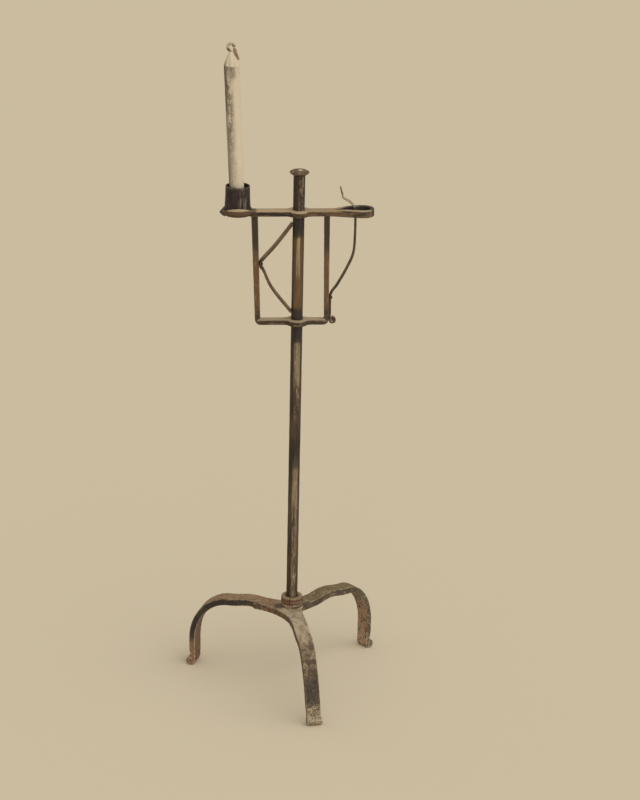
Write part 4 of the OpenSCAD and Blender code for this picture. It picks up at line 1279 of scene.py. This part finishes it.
        # Black inside the loop: painted shade.
        middle = AXIS.x + end - sizes.loop_deep / 2
        away = mix.bench.add("ShaderNodeCombineXYZ", {
            "X": mix.bench.math("MULTIPLY", mix.bench.math("SUBTRACT", mix.x, middle), 0.42),
            "Y": mix.bench.math("SUBTRACT", mix.y, AXIS.y),
        }).outputs[0]
        distance = mix.bench.add("ShaderNodeVectorMath", {0: away}, operation="LENGTH").outputs["Value"]
        slot = sizes.loop_deep / 2 - sizes.strap
        inside = mix.bench.ease(distance, slot + 0.1 * MM, slot + 1.1 * MM, 1.0, 0.0)
        mix.over(mix.both(inside, mix.bench.ease(mix.x, AXIS.x + 46 * MM, AXIS.x + 50 * MM)), hue.black)
        # Black on the loop's back strand: painted shade.
        back = mix.bench.ease(mix.y, AXIS.y + 7.5 * MM, AXIS.y + 9.5 * MM)
        mix.over(mix.both(back, mix.both(loop_face, 0.7)), hue.black)
        mix.rim(hue.black, 0.65, 0.5, 0.9)
        mix.wear(hue.pale, 0.6, 200.0)
        return mix.done(0.55, 0.15, 0.25)


class HOLDER_OT_yoke(Operator):
    """Forge the yoke: two uprights and the lower bar with its eye"""

    bl_idname = "holder.yoke"
    bl_label = "Yoke"

    def execute(self, context):
        sizes, hue = context.scene.holder_head, hues()
        seat = HEAD_Z - sizes.bar_high / 2 - 0.1 * MM
        low_top = YOKE_LOW.z + sizes.low_eye_high
        low = low_top - sizes.low_bar_high / 2
        path, thick, deep = self.frame_path(sizes, seat, low)
        yoke = draw_out(path, deep, thick)
        eye = lathe([
            (0, YOKE_LOW.z), (sizes.low_eye / 2 * 0.86, YOKE_LOW.z),
            (sizes.low_eye / 2, YOKE_LOW.z + 2 * MM), (sizes.low_eye / 2, low_top - 1 * MM),
            (sizes.low_eye / 2 * 0.95, low_top), (0, low_top),
        ], 64)
        join(yoke, eye)
        soften(yoke, 0.6 * MM, 4)
        over = 12 * MM
        cut(yoke, rod(sizes.bore / 2, low - over, low + over))
        dent(yoke, 0.2 * MM, 9 * MM)
        finish(yoke, "yoke_forged", "head", "rusty_iron", self.finish(hue, low_top), "yoke")
        return {"FINISHED"}

    def frame_path(self, sizes, seat, low):
        """Down the candle side's upright, along the lower bar and up the other upright."""
        steps, corner = 12, 3.2 * MM
        top_t, foot_t, bar_t = sizes.upright_top, sizes.upright_foot, sizes.low_bar_high
        path, thick, deep = [], [], []

        def add(x, z, t, across):
            path.append((x, z))
            thick.append(t)
            deep.append(across)

        def upright(top_x, foot_x, more, order):
            for k in order:
                t = k / steps
                add(top_x + (foot_x - top_x) * t, seat + (low + 2 * corner - seat) * t,
                    top_t + more + (foot_t - top_t) * t, sizes.upright_deep)

        def corner_at(foot_x, way, more, order):
            for a in order:
                t, a = a / 90, math.radians(a)
                add(foot_x + way * corner * (1 - math.cos(a)), low + corner * (1 - math.sin(a)),
                    foot_t + more + (bar_t - foot_t - more) * t,
                    sizes.upright_deep + (sizes.low_bar_deep - sizes.upright_deep) * t)

        upright(-sizes.left_top, -sizes.left_foot, sizes.left_more, range(steps + 1))
        corner_at(-sizes.left_foot, 1, sizes.left_more, (20, 45, 70))
        left_end, right_end = -sizes.left_foot + 2 * corner, sizes.right_foot - 2 * corner
        spans = 36
        for k in range(spans + 1):
            x = left_end + (right_end - left_end) * k / spans
            add(x, low, bar_t, 2 * swell(x, 0, sizes.low_bar_deep / 2, sizes.low_eye / 2 * 0.9, 19 * MM))
        corner_at(sizes.right_foot, -1, 0, (70, 45, 20))
        upright(sizes.right_top, sizes.right_foot, 0, range(steps, -1, -1))
        return path, thick, deep

    def finish(self, hue, low_top):
        mix = Finish("Yoke, rusty iron")
        along = mix.stretched(z=0.15)
        mix.mottle(hue.brown, (0.135, 0.070, 0.032), hue.black, 0.30, 120.0, along)
        middle = mix.band(mix.z, low_top + 26 * MM, HEAD_Z - 52 * MM, 22 * MM, 14 * MM, 50.0)
        mix.over(mix.both(middle, 0.5), (0.150, 0.080, 0.036))
        mix.over(mix.both(mix.both(middle, mix.marks(along, 330.0, 0.52, 0.62)), 0.5), hue.tan)
        top = mix.band(mix.z, HEAD_Z - 44 * MM, HEAD_Z + 20 * MM, 14 * MM, 8 * MM, 80.0)
        mix.over(mix.both(top, 0.72), hue.black)
        foot = mix.band(mix.z, 0.0, low_top + 6 * MM, 16 * MM, 6 * MM, 80.0)
        mix.over(mix.both(foot, 0.72), hue.black)
        mix.rim(hue.black, 0.7, 0.4, 0.85)
        # Painted top light on upward faces.
        mix.bloom((0.400, 0.300, 0.180), 0.90, 80.0)
        streaks = mix.both(foot, mix.marks(mix.stretched(x=0.15), 300.0, 0.54, 0.64))
        mix.over(mix.both(streaks, 0.5), hue.tan)
        mix.wear(hue.tan, 0.5, 200.0)
        return mix.done(0.58, 0.15, 0.3)


class HOLDER_OT_spring(Operator):
    """Bend the friction spring"""

    bl_idname = "holder.spring"
    bl_label = "Friction spring"

    def execute(self, context):
        sizes, head, hue = context.scene.holder_leaf, context.scene.holder_head, hues()
        shaft_r, gap, seat_gap = context.scene.holder_shaft.thick / 2, 0.3 * MM, 0.1 * MM
        near, top, low = -(shaft_r + gap), SPRING_HIGH.z, SPRING_LOW.z
        end = sizes.spring_thick * 0.35
        top, low = top - end, low + end
        middle = (top + low) / 2 + sizes.spring_off
        seat = HEAD_Z - head.bar_high / 2
        fall = seat - (YOKE_LOW.z + head.low_eye_high - head.low_bar_high / 2)

        def upright(z):
            t = (seat - z) / fall
            half = (head.upright_top + head.left_more
                    + (head.upright_foot - head.upright_top) * t) / 2
            return -(head.left_top + (head.left_foot - head.left_top) * t) + half

        def bend(rise):
            z = middle + rise
            return upright(z) + seat_gap + sizes.spring_thick / 2 + sizes.spring_turn / 6, z

        def leave(way):
            x, z = bend(way * sizes.spring_flat / 2)
            return x + sizes.spring_turn, z + way * 1.4 * sizes.spring_turn

        halfway = (bend(0)[0] + near) / 2
        path = spline([
            (near, top), (halfway, (middle + top) / 2), leave(1), bend(sizes.spring_flat / 2),
            bend(-sizes.spring_flat / 2), leave(-1), (halfway - sizes.spring_bow, (middle + low) / 2),
            (near, low),
        ], 6)
        count = len(path)
        leaf = draw_out(path, [sizes.spring_wide] * count, [sizes.spring_thick] * count)
        modify(leaf, "BEVEL", width=0.45 * MM, segments=2, limit_method="ANGLE",
               angle_limit=math.radians(50))
        cut(leaf, rod(shaft_r + gap, low - 20 * MM, top + 20 * MM, sides=96))
        dent(leaf, 0.12 * MM, 8 * MM)
        mix = Finish("Spring, brown iron")
        mix.mottle(hue.brown, (0.160, 0.098, 0.050), hue.black, 0.25, 90.0)
        vertex = mix.band(mix.z, middle - 4 * MM, middle + 4 * MM, 7 * MM)
        mix.over(mix.both(vertex, 0.7), hue.black)
        mix.over(mix.both(mix.toward(0, -1, 0, 0.6, 0.9), mix.both(vertex, 0.5)), hue.black)
        # Painted top light on upward faces, away from the bend.
        mix.bloom(hue.tan, 0.7, 120.0, mix.bench.math("SUBTRACT", 1.0, vertex))
        # Painted shade: black on downward faces.
        mix.over(mix.both(mix.toward(0, 0, -1, 0.2, 0.6), 0.8), hue.black)
        mix.rim(hue.black, 0.6)
        mix.wear(hue.black, 0.5)
        material = mix.done(0.55, 0.15, 0.2)
        finish(leaf, "friction_spring_bent", "head", "rusty_iron", material, "friction_spring")
        return {"FINISHED"}


# The jaw's bow: shares of its reach, and heights over the rivet in millimetres
JAW_BOW = ((0.006, 3.5), (0.1, 10), (0.31, 19), (0.71, 42), (0.95, 61), (1, 84))


class HOLDER_OT_jaw(Operator):
    """Bend the splint jaw, with its rolled lower end and its finger"""

    bl_idname = "holder.jaw"
    bl_label = "Jaw"

    def execute(self, context):
        sizes, hue = context.scene.holder_leaf, hues()
        tail_x = JAW_LOW.x - AXIS.x + sizes.jaw_thick / 2
        rivet = HEAD_Z - sizes.jaw_rivet
        roll_r = (sizes.jaw_roll - sizes.jaw_thick) / 2
        roll_x, roll_z = tail_x + roll_r, rivet - sizes.jaw_tail
        turns, roll_turn = 18, 280
        roll = [
            (roll_x + roll_r * math.cos(a), roll_z + roll_r * math.sin(a))
            for a in (math.radians(180 + roll_turn * (1 - k / turns)) for k in range(turns + 1))
        ]
        bow = sizes.jaw_out - tail_x
        leaf = [(tail_x, rivet - 14 * MM), (tail_x, rivet)]
        leaf += [
            (tail_x + share * bow, rivet + rise * MM)
            for share, rise in JAW_BOW
        ]
        leaf += [
            (sizes.jaw_out - back * MM, HEAD_Z + rise * MM)
            for back, rise in ((0, -7), (0.5, 4), (6.5, 13.5), (16, 19.5), (17.5, 24))
        ]
        leaf.append((sizes.jaw_out - 20.5 * MM, JAW_HIGH.z - 0.3 * MM))
        path = roll + spline(leaf, 6)
        count = len(path)
        taper = [1 - 0.28 * smooth_step(max(0, (k / (count - 1) - 0.72) / 0.28)) for k in range(count)]
        strip = draw_out(
            path, [sizes.jaw_wide * t for t in taper], [sizes.jaw_thick * t for t in taper]
        )
        modify(strip, "BEVEL", width=0.5 * MM, segments=2, limit_method="ANGLE",
               angle_limit=math.radians(50))
        half = sizes.jaw_wide / 2 - 0.8 * MM
        join(strip, rod(roll_r, -half, half, x=roll_x, y=roll_z, sides=32, way="Y"))
        soften(strip, 0.4 * MM, 2, 0.1 * MM)
        cut(strip, rod(1.8 * MM, tail_x - 8 * MM, tail_x + 8 * MM, x=rivet, way="X", sides=32))
        dent(strip, 0.15 * MM, 8 * MM)
        mix = Finish("Jaw, brown iron")
        mix.mottle(hue.black, hue.brown, hue.tan, 0.25, 150.0, mix.stretched(z=0.3))
        finger = mix.bench.ease(mix.z, HEAD_Z + 2 * MM, HEAD_Z + 12 * MM)
        mix.over(mix.both(mix.both(finger, mix.marks(mix.place, 130.0, 0.40, 0.56)), 0.8), hue.pale)
        # Painted top light on upward faces.
        mix.bloom(hue.tan, 0.6, 120.0)
        # Painted highlight on the roll's upper right front.
        roll_highlight = mix.bench.ease(mix.z, HEAD_Z - sizes.jaw_rivet - sizes.jaw_tail + 4 * MM,
                                   HEAD_Z - sizes.jaw_rivet - sizes.jaw_tail, 0.0, 1.0)
        mix.over(mix.both(mix.both(roll_highlight, mix.toward(0.6, -0.5, 0.6, 0.4, 0.9)), 0.8), hue.tan)
        mix.rim(hue.black, 0.5)
        finish(strip, "jaw_bent", "jaw", "rusty_iron", mix.done(0.55, 0.15, 0.2), "jaw")
        return {"FINISHED"}


class HOLDER_OT_rivets(Operator):
    """Finish the three rivets"""

    bl_idname = "holder.rivets"
    bl_label = "Rivets"

    def execute(self, context):
        hue = hues()
        mix = Finish("Rivets, dark iron")
        mix.mottle(hue.black, hue.brown, hue.tan, 0.2, 300.0)
        mix.rim(hue.black, 0.6)
        material = mix.done(0.55, 0.15, 0.3)
        for name in ("spring_rivet", "socket_rivet", "jaw_rivet"):
            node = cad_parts[name]
            node.data.materials.clear()
            node.data.materials.append(material)
        return {"FINISHED"}


# The candle


class HOLDER_OT_socket(Operator):
    """Roll the candle socket from sheet"""

    bl_idname = "holder.socket"
    bl_label = "Candle socket"

    def execute(self, context):
        sizes, hue = context.scene.holder_candle, hues()
        low, high, wall = SOCKET_LOW.z, SOCKET_HIGH.z, sizes.socket_wall
        foot, rim = sizes.socket_foot / 2, sizes.socket_rim / 2
        steps, edge = 14, 0.5 * MM
        profile = [(foot - edge, low)]
        for k in range(steps + 1):
            t = k / steps
            z = low + edge + (high - low - 2 * edge) * t
            profile.append((foot + (rim - foot) * t - 0.25 * MM * math.sin(math.pi * t), z))
        profile.append((rim - edge, high))
        profile.append((rim - wall + 0.3 * edge, high - 0.2 * edge))
        for k in range(steps + 1):
            t = 1 - k / steps
            z = low + wall + (high - edge - low - wall) * t
            profile.append((foot - wall + (rim - foot) * t - 0.25 * MM * math.sin(math.pi * t), z))
        profile += [(2.4 * MM, low + wall), (2.4 * MM, low), (foot - edge, low)]
        socket = lathe(profile, 72, gap=math.radians(3))
        shift(socket, about_z=math.radians(73.5))
        dent(socket, 0.2 * MM, 9 * MM)
        shift(socket, (-SOCKET_X, 0, 0))
        mix = Finish("Socket, sooty sheet")
        soot, plum = (0.018, 0.014, 0.013), (0.042, 0.026, 0.026)
        mix.mottle(soot, plum, hue.brown, 0.18, 110.0, mix.stretched(z=0.35))
        side = mix.bench.math("SUBTRACT", mix.x, AXIS.x - SOCKET_X)
        lit = mix.both(mix.bench.ease(side, -2 * MM, 4 * MM), mix.bench.ease(side, 9 * MM, 12 * MM, 1.0, 0.0))
        streaks = mix.marks(mix.stretched(z=0.12), 420.0, 0.50, 0.60)
        mix.over(mix.both(mix.both(lit, streaks), 0.18), hue.tan)
        low_part = mix.bench.ease(mix.z, low + 16 * MM, low + 22 * MM, 1.0, 0.0)
        glint = mix.both(mix.both(lit, low_part), mix.marks(mix.stretched(z=0.12), 300.0, 0.46, 0.54))
        mix.over(mix.both(glint, 0.30), hue.pale)
        mix.rim(soot, 0.8, 0.3, 0.7)
        mix.wear(hue.tan, 0.35, 200.0)
        material = mix.done(0.5, 0.15, 0.3)
        finish(socket, "socket_rolled", "head", "sooty_iron", material, "candle_socket")
        return {"FINISHED"}


class HOLDER_OT_candle(Operator):
    """Dip the candle"""

    bl_idname = "holder.candle"
    bl_label = "Candle"

    def execute(self, context):
        sizes, hue = context.scene.holder_candle, hues()
        high, cone = sizes.high, sizes.cone
        foot, shoulder, tip = sizes.foot / 2, sizes.shoulder / 2, sizes.tip / 2
        sunk, bore, rings, folds = 1.2 * MM, sizes.wick / 2 + 0.05 * MM, 60, 10
        profile = [(bore, -sunk), (foot - 1 * MM, -sunk), (foot, -sunk + 0.8 * MM)]
        profile += [(foot + (shoulder - foot) * k / rings, high * k / rings) for k in range(1, rings + 1)]
        profile.append((shoulder * 0.985, high + 0.6 * MM))
        profile += [
            (shoulder + (tip - shoulder) * t + 0.5 * MM * math.sin(math.pi * t), high + cone * t)
            for t in (k / 12 for k in range(1, 13))
        ]
        profile += [(tip * 0.8, high + cone + 0.05 * MM), (bore, high + cone - 0.4 * MM), (bore, -sunk)]
        candle = lathe(profile, 60)
        edit(candle)
        for fold in range(folds):
            at = math.tau * (fold + 0.35 * math.sin(5 * fold)) / folds

            def in_fold(co):
                if not high - 1 * MM < co.z < high + cone * 0.92 or math.hypot(co.x, co.y) < tip * 0.8:
                    return False
                off = (math.atan2(co.y, co.x) - at + math.pi) % math.tau - math.pi
                return abs(off) < 0.13

            pick(in_fold)
            bpy.ops.transform.resize(value=(0.90, 0.90, 1), center_override=(0, 0, high))
        close_up()
        dent(candle, 0.35 * MM, 22 * MM)
        base = Vector((-SOCKET_X, 0, CANDLE_LOW.z))
        shift(candle, base, lean_y=-sizes.lean)
        edit(candle)
        bpy.ops.mesh.bisect(
            plane_co=(0, 0, CANDLE_LOW.z), plane_no=(0, 0, 1), use_fill=True, clear_inner=True,
            threshold=1e-7,
        )
        close_up()
        finish(candle, "candle_dipped", "candle", "wax", self.finish(sizes, hue), "candle")
        return {"FINISHED"}

    def finish(self, sizes, hue):
        """Cream wax, smudged and with painted shade on the side away from the shaft, and painted shade in the
        creases of the cone.
        """
        mix = Finish("Candle, dipped wax")
        drawn = mix.stretched(z=0.35)
        mix.mottle(hue.cream, [c * 0.94 for c in hue.cream], (0.70, 0.58, 0.38), 0.30, 60.0, drawn)
        lean_off = mix.bench.math(
            "MULTIPLY", mix.bench.math("SUBTRACT", mix.z, CANDLE_LOW.z), math.tan(sizes.lean)
        )
        side = mix.bench.math("ADD", mix.bench.math("SUBTRACT", mix.x, AXIS.x - SOCKET_X), lean_off)
        # Painted shade on the side away from the shaft, broken into smudges and spots.
        away = mix.bench.ease(side, -5.5 * MM, 3 * MM, 1.0, 0.0)
        upper = mix.bench.ease(mix.z, CANDLE_LOW.z + 70 * MM, CANDLE_LOW.z + 120 * MM, 0.55, 1.0)
        below = mix.bench.ease(mix.z, CANDLE_HIGH.z - sizes.cone - 1.2 * MM,
                               CANDLE_HIGH.z - sizes.cone + 0.2 * MM, 1.0, 0.0)
        cloudy = mix.marks(drawn, 95.0, 0.41, 0.55, 8.0)
        left_shade_smudges = mix.both(mix.both(away, cloudy), mix.both(upper, below))
        gritty = mix.marks(mix.place, 500.0, 0.30, 0.55)
        mix.over(mix.both(mix.both(left_shade_smudges, gritty), 0.95), hue.smoke)
        # Painted shade on the far left flank.
        mix.over(mix.both(mix.bench.ease(side, -9.8 * MM, -5.5 * MM, 1.0, 0.0), 0.62), hue.smoke)
        spots = mix.marks(mix.stretched(z=0.6), 300.0, 0.60, 0.66)
        wide_shade_side = mix.bench.ease(side, -3 * MM, 4 * MM, 1.0, 0.0)
        mix.over(mix.both(mix.both(spots, wide_shade_side), mix.both(mix.both(upper, below), 0.55)), hue.smoke)
        # Smudges below the shoulder, heavier on the left: smudged wax and painted shade.
        shoulder = mix.band(mix.z, CANDLE_HIGH.z - sizes.cone - 9 * MM, CANDLE_HIGH.z - sizes.cone,
                            10 * MM, 16 * MM, 90.0)
        blotch = mix.both(mix.bench.ease(side, 0, 9 * MM, 1.0, 0.25), mix.marks(drawn, 110.0, 0.36, 0.54))
        mix.over(mix.both(mix.both(shoulder, below), mix.both(blotch, 0.62)), hue.smoke)
        # Painted shade in the creases of the cone.
        crease_shade = mix.bench.ease(mix.pointiness, 0.455, 0.495, 1.0, 0.0)
        mix.over(mix.both(crease_shade, 0.5), hue.smoke)
        return mix.done(0.5, 0.0, 0.2)


class HOLDER_OT_wick(Operator):
    """Lay up the wick from strands, loop it and fray its end"""

    bl_idname = "holder.wick"
    bl_label = "Wick"

    def execute(self, context):
        sizes, hue = context.scene.holder_candle, hues()
        tip = sizes.high + sizes.cone
        r = sizes.loop - 0.4 * MM
        loop_z = tip + r + sizes.wick / 2 + 0.1 * MM
        spine = [Vector((0, 0, z)) for z in (k * tip / 40 for k in range(41))]
        spine += [
            Vector((-r * math.sin(a), 0, loop_z - r * math.cos(a)))
            for a in (math.radians(12 + 258 * k / 30) for k in range(31))
        ]
        end = Vector((math.sin(sizes.tail_lean), 0, -math.cos(sizes.tail_lean)))
        start = Vector((r, 0, loop_z))
        spine += [start + end * (sizes.tail * k / 12) for k in range(13)]
        strands = []
        count, lay, thick = 3, 0.72 * MM, 0.86 * MM
        for strand in range(count):
            path = self.twist(spine, strand * math.tau / count, lay, 2.6 * MM, tip)
            strands.append(self.strand(path, thick, loose=tip))
        draws = random.Random(7)
        for hair in range(34):
            off = Vector((draws.uniform(-1.9, 1.1), draws.uniform(-1.5, 1.5), 0)) * MM
            root = start + end * (draws.uniform(0.0, 0.35) * sizes.tail) + off * 0.5
            reach = end * (draws.uniform(0.35, 0.62) * sizes.tail)
            curl = Vector((draws.uniform(-1, 1), draws.uniform(-1, 1), 0)) * 0.5 * MM
            strands.append(self.strand([root, root + reach * 0.5 + off * 0.6 + curl, root + reach + off],
                                       0.32 * MM, sides=6))
        wick = join(*strands)
        shift(wick, (-SOCKET_X, 0, CANDLE_LOW.z), lean_y=-sizes.lean)
        finish(wick, "wick_looped", "candle", "wick", self.finish(sizes, hue, tip), "wick")
        return {"FINISHED"}

    def twist(self, spine, start, lay, pitch, loose):
        """One strand's path, wound round the spine and wider where it is out of the wax."""
        path, run = [], 0.0
        for i, point in enumerate(spine):
            way = (spine[min(i + 1, len(spine) - 1)] - spine[max(i - 1, 0)]).normalized()
            side = Vector((0, 1, 0))
            other = way.cross(side)
            if i:
                run += (point - spine[i - 1]).length
            turn_by = start + run / pitch
            wide = lay * (1.25 if point.z > loose else 1.0)
            path.append(point + (side * math.cos(turn_by) + other * math.sin(turn_by)) * wide)
        return path

    def strand(self, path, thick, sides=8, loose=math.inf):
        """A thin round tube drawn along a path, and thicker over a height."""
        deselect()
        bpy.ops.curve.primitive_nurbs_path_add()
        curve = bpy.context.object
        data = curve.data
        data.splines.clear()
        line = data.splines.new("POLY")
        line.points.add(len(path) - 1)
        for point, co in zip(line.points, path):
            point.co = (*co, 1)
            point.radius = 1.25 if co[2] > loose else 1.0
        data.dimensions = "3D"
        data.bevel_depth = thick
        data.bevel_resolution = (sides - 4) // 2
        data.use_fill_caps = True
        bpy.ops.object.convert(target="MESH")
        return bpy.context.object

    def finish(self, sizes, hue, tip):
        mix = Finish("Wick, cotton cord")
        mix.mottle(hue.cord, (0.62, 0.52, 0.36), hue.smoke, 0.3, 500.0)
        middle = AXIS.x - SOCKET_X - (tip + sizes.loop) * math.sin(sizes.lean)
        level = CANDLE_LOW.z + (tip + sizes.loop) * math.cos(sizes.lean)
        # Dark brown cord on the loop, darkest on its left and lower side and lighter at its crest: painted
        # shade and light.
        dark = (0.090, 0.070, 0.034)
        left = mix.bench.ease(mix.x, middle - 2.5 * MM, middle + 0.5 * MM, 1.0, 0.0)
        lower = mix.bench.ease(mix.z, level - 1.0 * MM, level + 2.0 * MM, 1.0, 0.0)
        mix.over(mix.both(mix.both(left, lower), 0.95), dark)
        right = mix.bench.ease(mix.x, middle + 0.5 * MM, middle + 2.5 * MM)
        upper = mix.bench.ease(mix.z, level + 1.0 * MM, level + 3.0 * MM)
        mix.over(mix.both(mix.both(right, upper), 0.85), (0.150, 0.110, 0.055))
        crest_light = mix.bench.ease(mix.z, level + 4.0 * MM, level + 5.5 * MM)
        mix.over(mix.both(crest_light, 0.6), hue.tan)
        tail = mix.both(right, mix.bench.ease(mix.z, level - 0.5 * MM, level + 1.0 * MM, 1.0, 0.0))
        mix.over(mix.both(tail, 0.85), (0.300, 0.200, 0.110))
        return mix.done(0.85, 0.0, 0.5)


# The stage


class HOLDER_OT_stage(Operator):
    """Lay the floor, hang the lamps and set the camera"""

    bl_idname = "holder.stage"
    bl_label = "Stage"

    def execute(self, context):
        scene = context.scene
        look, hue = scene.holder_stage, hues()
        deselect()
        bpy.ops.mesh.primitive_plane_add(size=40, location=(0, 0, 0))
        floor = context.object
        floor.name = "Floor"
        edit(floor)
        bpy.ops.mesh.subdivide(number_cuts=2)
        bpy.ops.object.mode_set(mode="OBJECT")
        paper = bpy.data.materials.new("Paper floor")
        paper.use_nodes = True
        shader = paper.node_tree.nodes["Principled BSDF"]
        shader.inputs["Base Color"].default_value = rgba(hue.paper)
        shader.inputs["Roughness"].default_value = 0.95
        shader.inputs["Specular IOR Level"].default_value = 0.0
        floor.data.materials.append(paper)

        deselect()
        bpy.ops.object.light_add(type="SUN", rotation=(look.key_tilt, 0, look.key_turn))
        key = context.object
        key.name = "Key lamp"
        key.data.energy = look.sun
        key.data.angle = look.key_soft

        world = bpy.data.worlds.new("Studio")
        scene.world = world
        world.use_nodes = True
        bench = Bench(world.node_tree)
        ground = world.node_tree.nodes["Background"]
        ground.inputs["Color"].default_value = (1.0, 1.0, 1.0, 1)
        ground.inputs["Strength"].default_value = look.sky
        seen = bench.add("ShaderNodeBackground", {"Color": rgba(hue.paper), "Strength": 1.0})
        path = bench.add("ShaderNodeLightPath").outputs
        rays = bench.math("ADD", path["Is Camera Ray"], path["Is Glossy Ray"])
        rays = bench.math("ADD", rays, path["Is Transmission Ray"], clamp=True)
        both = bench.add("ShaderNodeMixShader", {0: rays, 1: ground.outputs[0], 2: seen.outputs[0]})
        out = world.node_tree.nodes["World Output"]
        world.node_tree.links.new(both.outputs[0], out.inputs["Surface"])

        deselect()
        bpy.ops.object.camera_add()
        camera = context.object
        camera.name = "Camera"
        place = Matrix.Translation(AXIS + Vector((look.camera_x, look.camera_y, look.camera_z)))
        aim = Matrix.Rotation(-look.yaw, 4, "Z") @ Matrix.Rotation(math.pi / 2 - look.pitch, 4, "X")
        camera.matrix_world = place @ aim @ Matrix.Rotation(look.roll, 4, "Z")
        camera.data.lens = look.lens
        camera.data.sensor_width = 36
        camera.data.clip_end = 100
        scene.camera = camera
        scene.view_settings.view_transform = "Standard"
        return {"FINISHED"}


class HOLDER_PT_panel(Panel):
    """Lists the steps that dress the holder"""

    bl_label = "Candle holder"
    bl_idname = "HOLDER_PT_panel"
    bl_space_type = "VIEW_3D"
    bl_region_type = "UI"
    bl_category = "Candle holder"

    def draw(self, context):
        for step in STEPS:
            self.layout.operator(step.bl_idname)
        for title in GROUP_PROPERTIES:
            box = self.layout.box()
            sizes = getattr(context.scene, title)
            for name in sizes.bl_rna.properties.keys():
                if name not in ("rna_type", "name"):
                    box.prop(sizes, name)


STEPS = (
    HOLDER_OT_stage, HOLDER_OT_leg_pair, HOLDER_OT_right_leg, HOLDER_OT_collar, HOLDER_OT_shaft,
    HOLDER_OT_crossbar, HOLDER_OT_yoke, HOLDER_OT_spring, HOLDER_OT_jaw, HOLDER_OT_rivets,
    HOLDER_OT_socket, HOLDER_OT_candle, HOLDER_OT_wick,
)
GROUP_PROPERTIES = {
    "holder_tripod": TripodSizes, "holder_shaft": ShaftSizes, "holder_head": HeadSizes,
    "holder_leaf": LeafSizes, "holder_candle": CandleSizes, "holder_colours": HolderColours,
    "holder_stage": StageLook,
}
CLASSES = (*GROUP_PROPERTIES.values(), *STEPS, HOLDER_PT_panel)


def register():
    for cls in CLASSES:
        bpy.utils.register_class(cls)
    for name, group in GROUP_PROPERTIES.items():
        setattr(bpy.types.Scene, name, PointerProperty(type=group))


def unregister():
    for name in GROUP_PROPERTIES:
        delattr(bpy.types.Scene, name)
    for cls in reversed(CLASSES):
        bpy.utils.unregister_class(cls)


def main():
    register()
    build_groups()
    for step in STEPS:
        family, name = step.bl_idname.split(".")
        getattr(getattr(bpy.ops, family), name)()
    deselect()


if __name__ == "__main__":
    main()
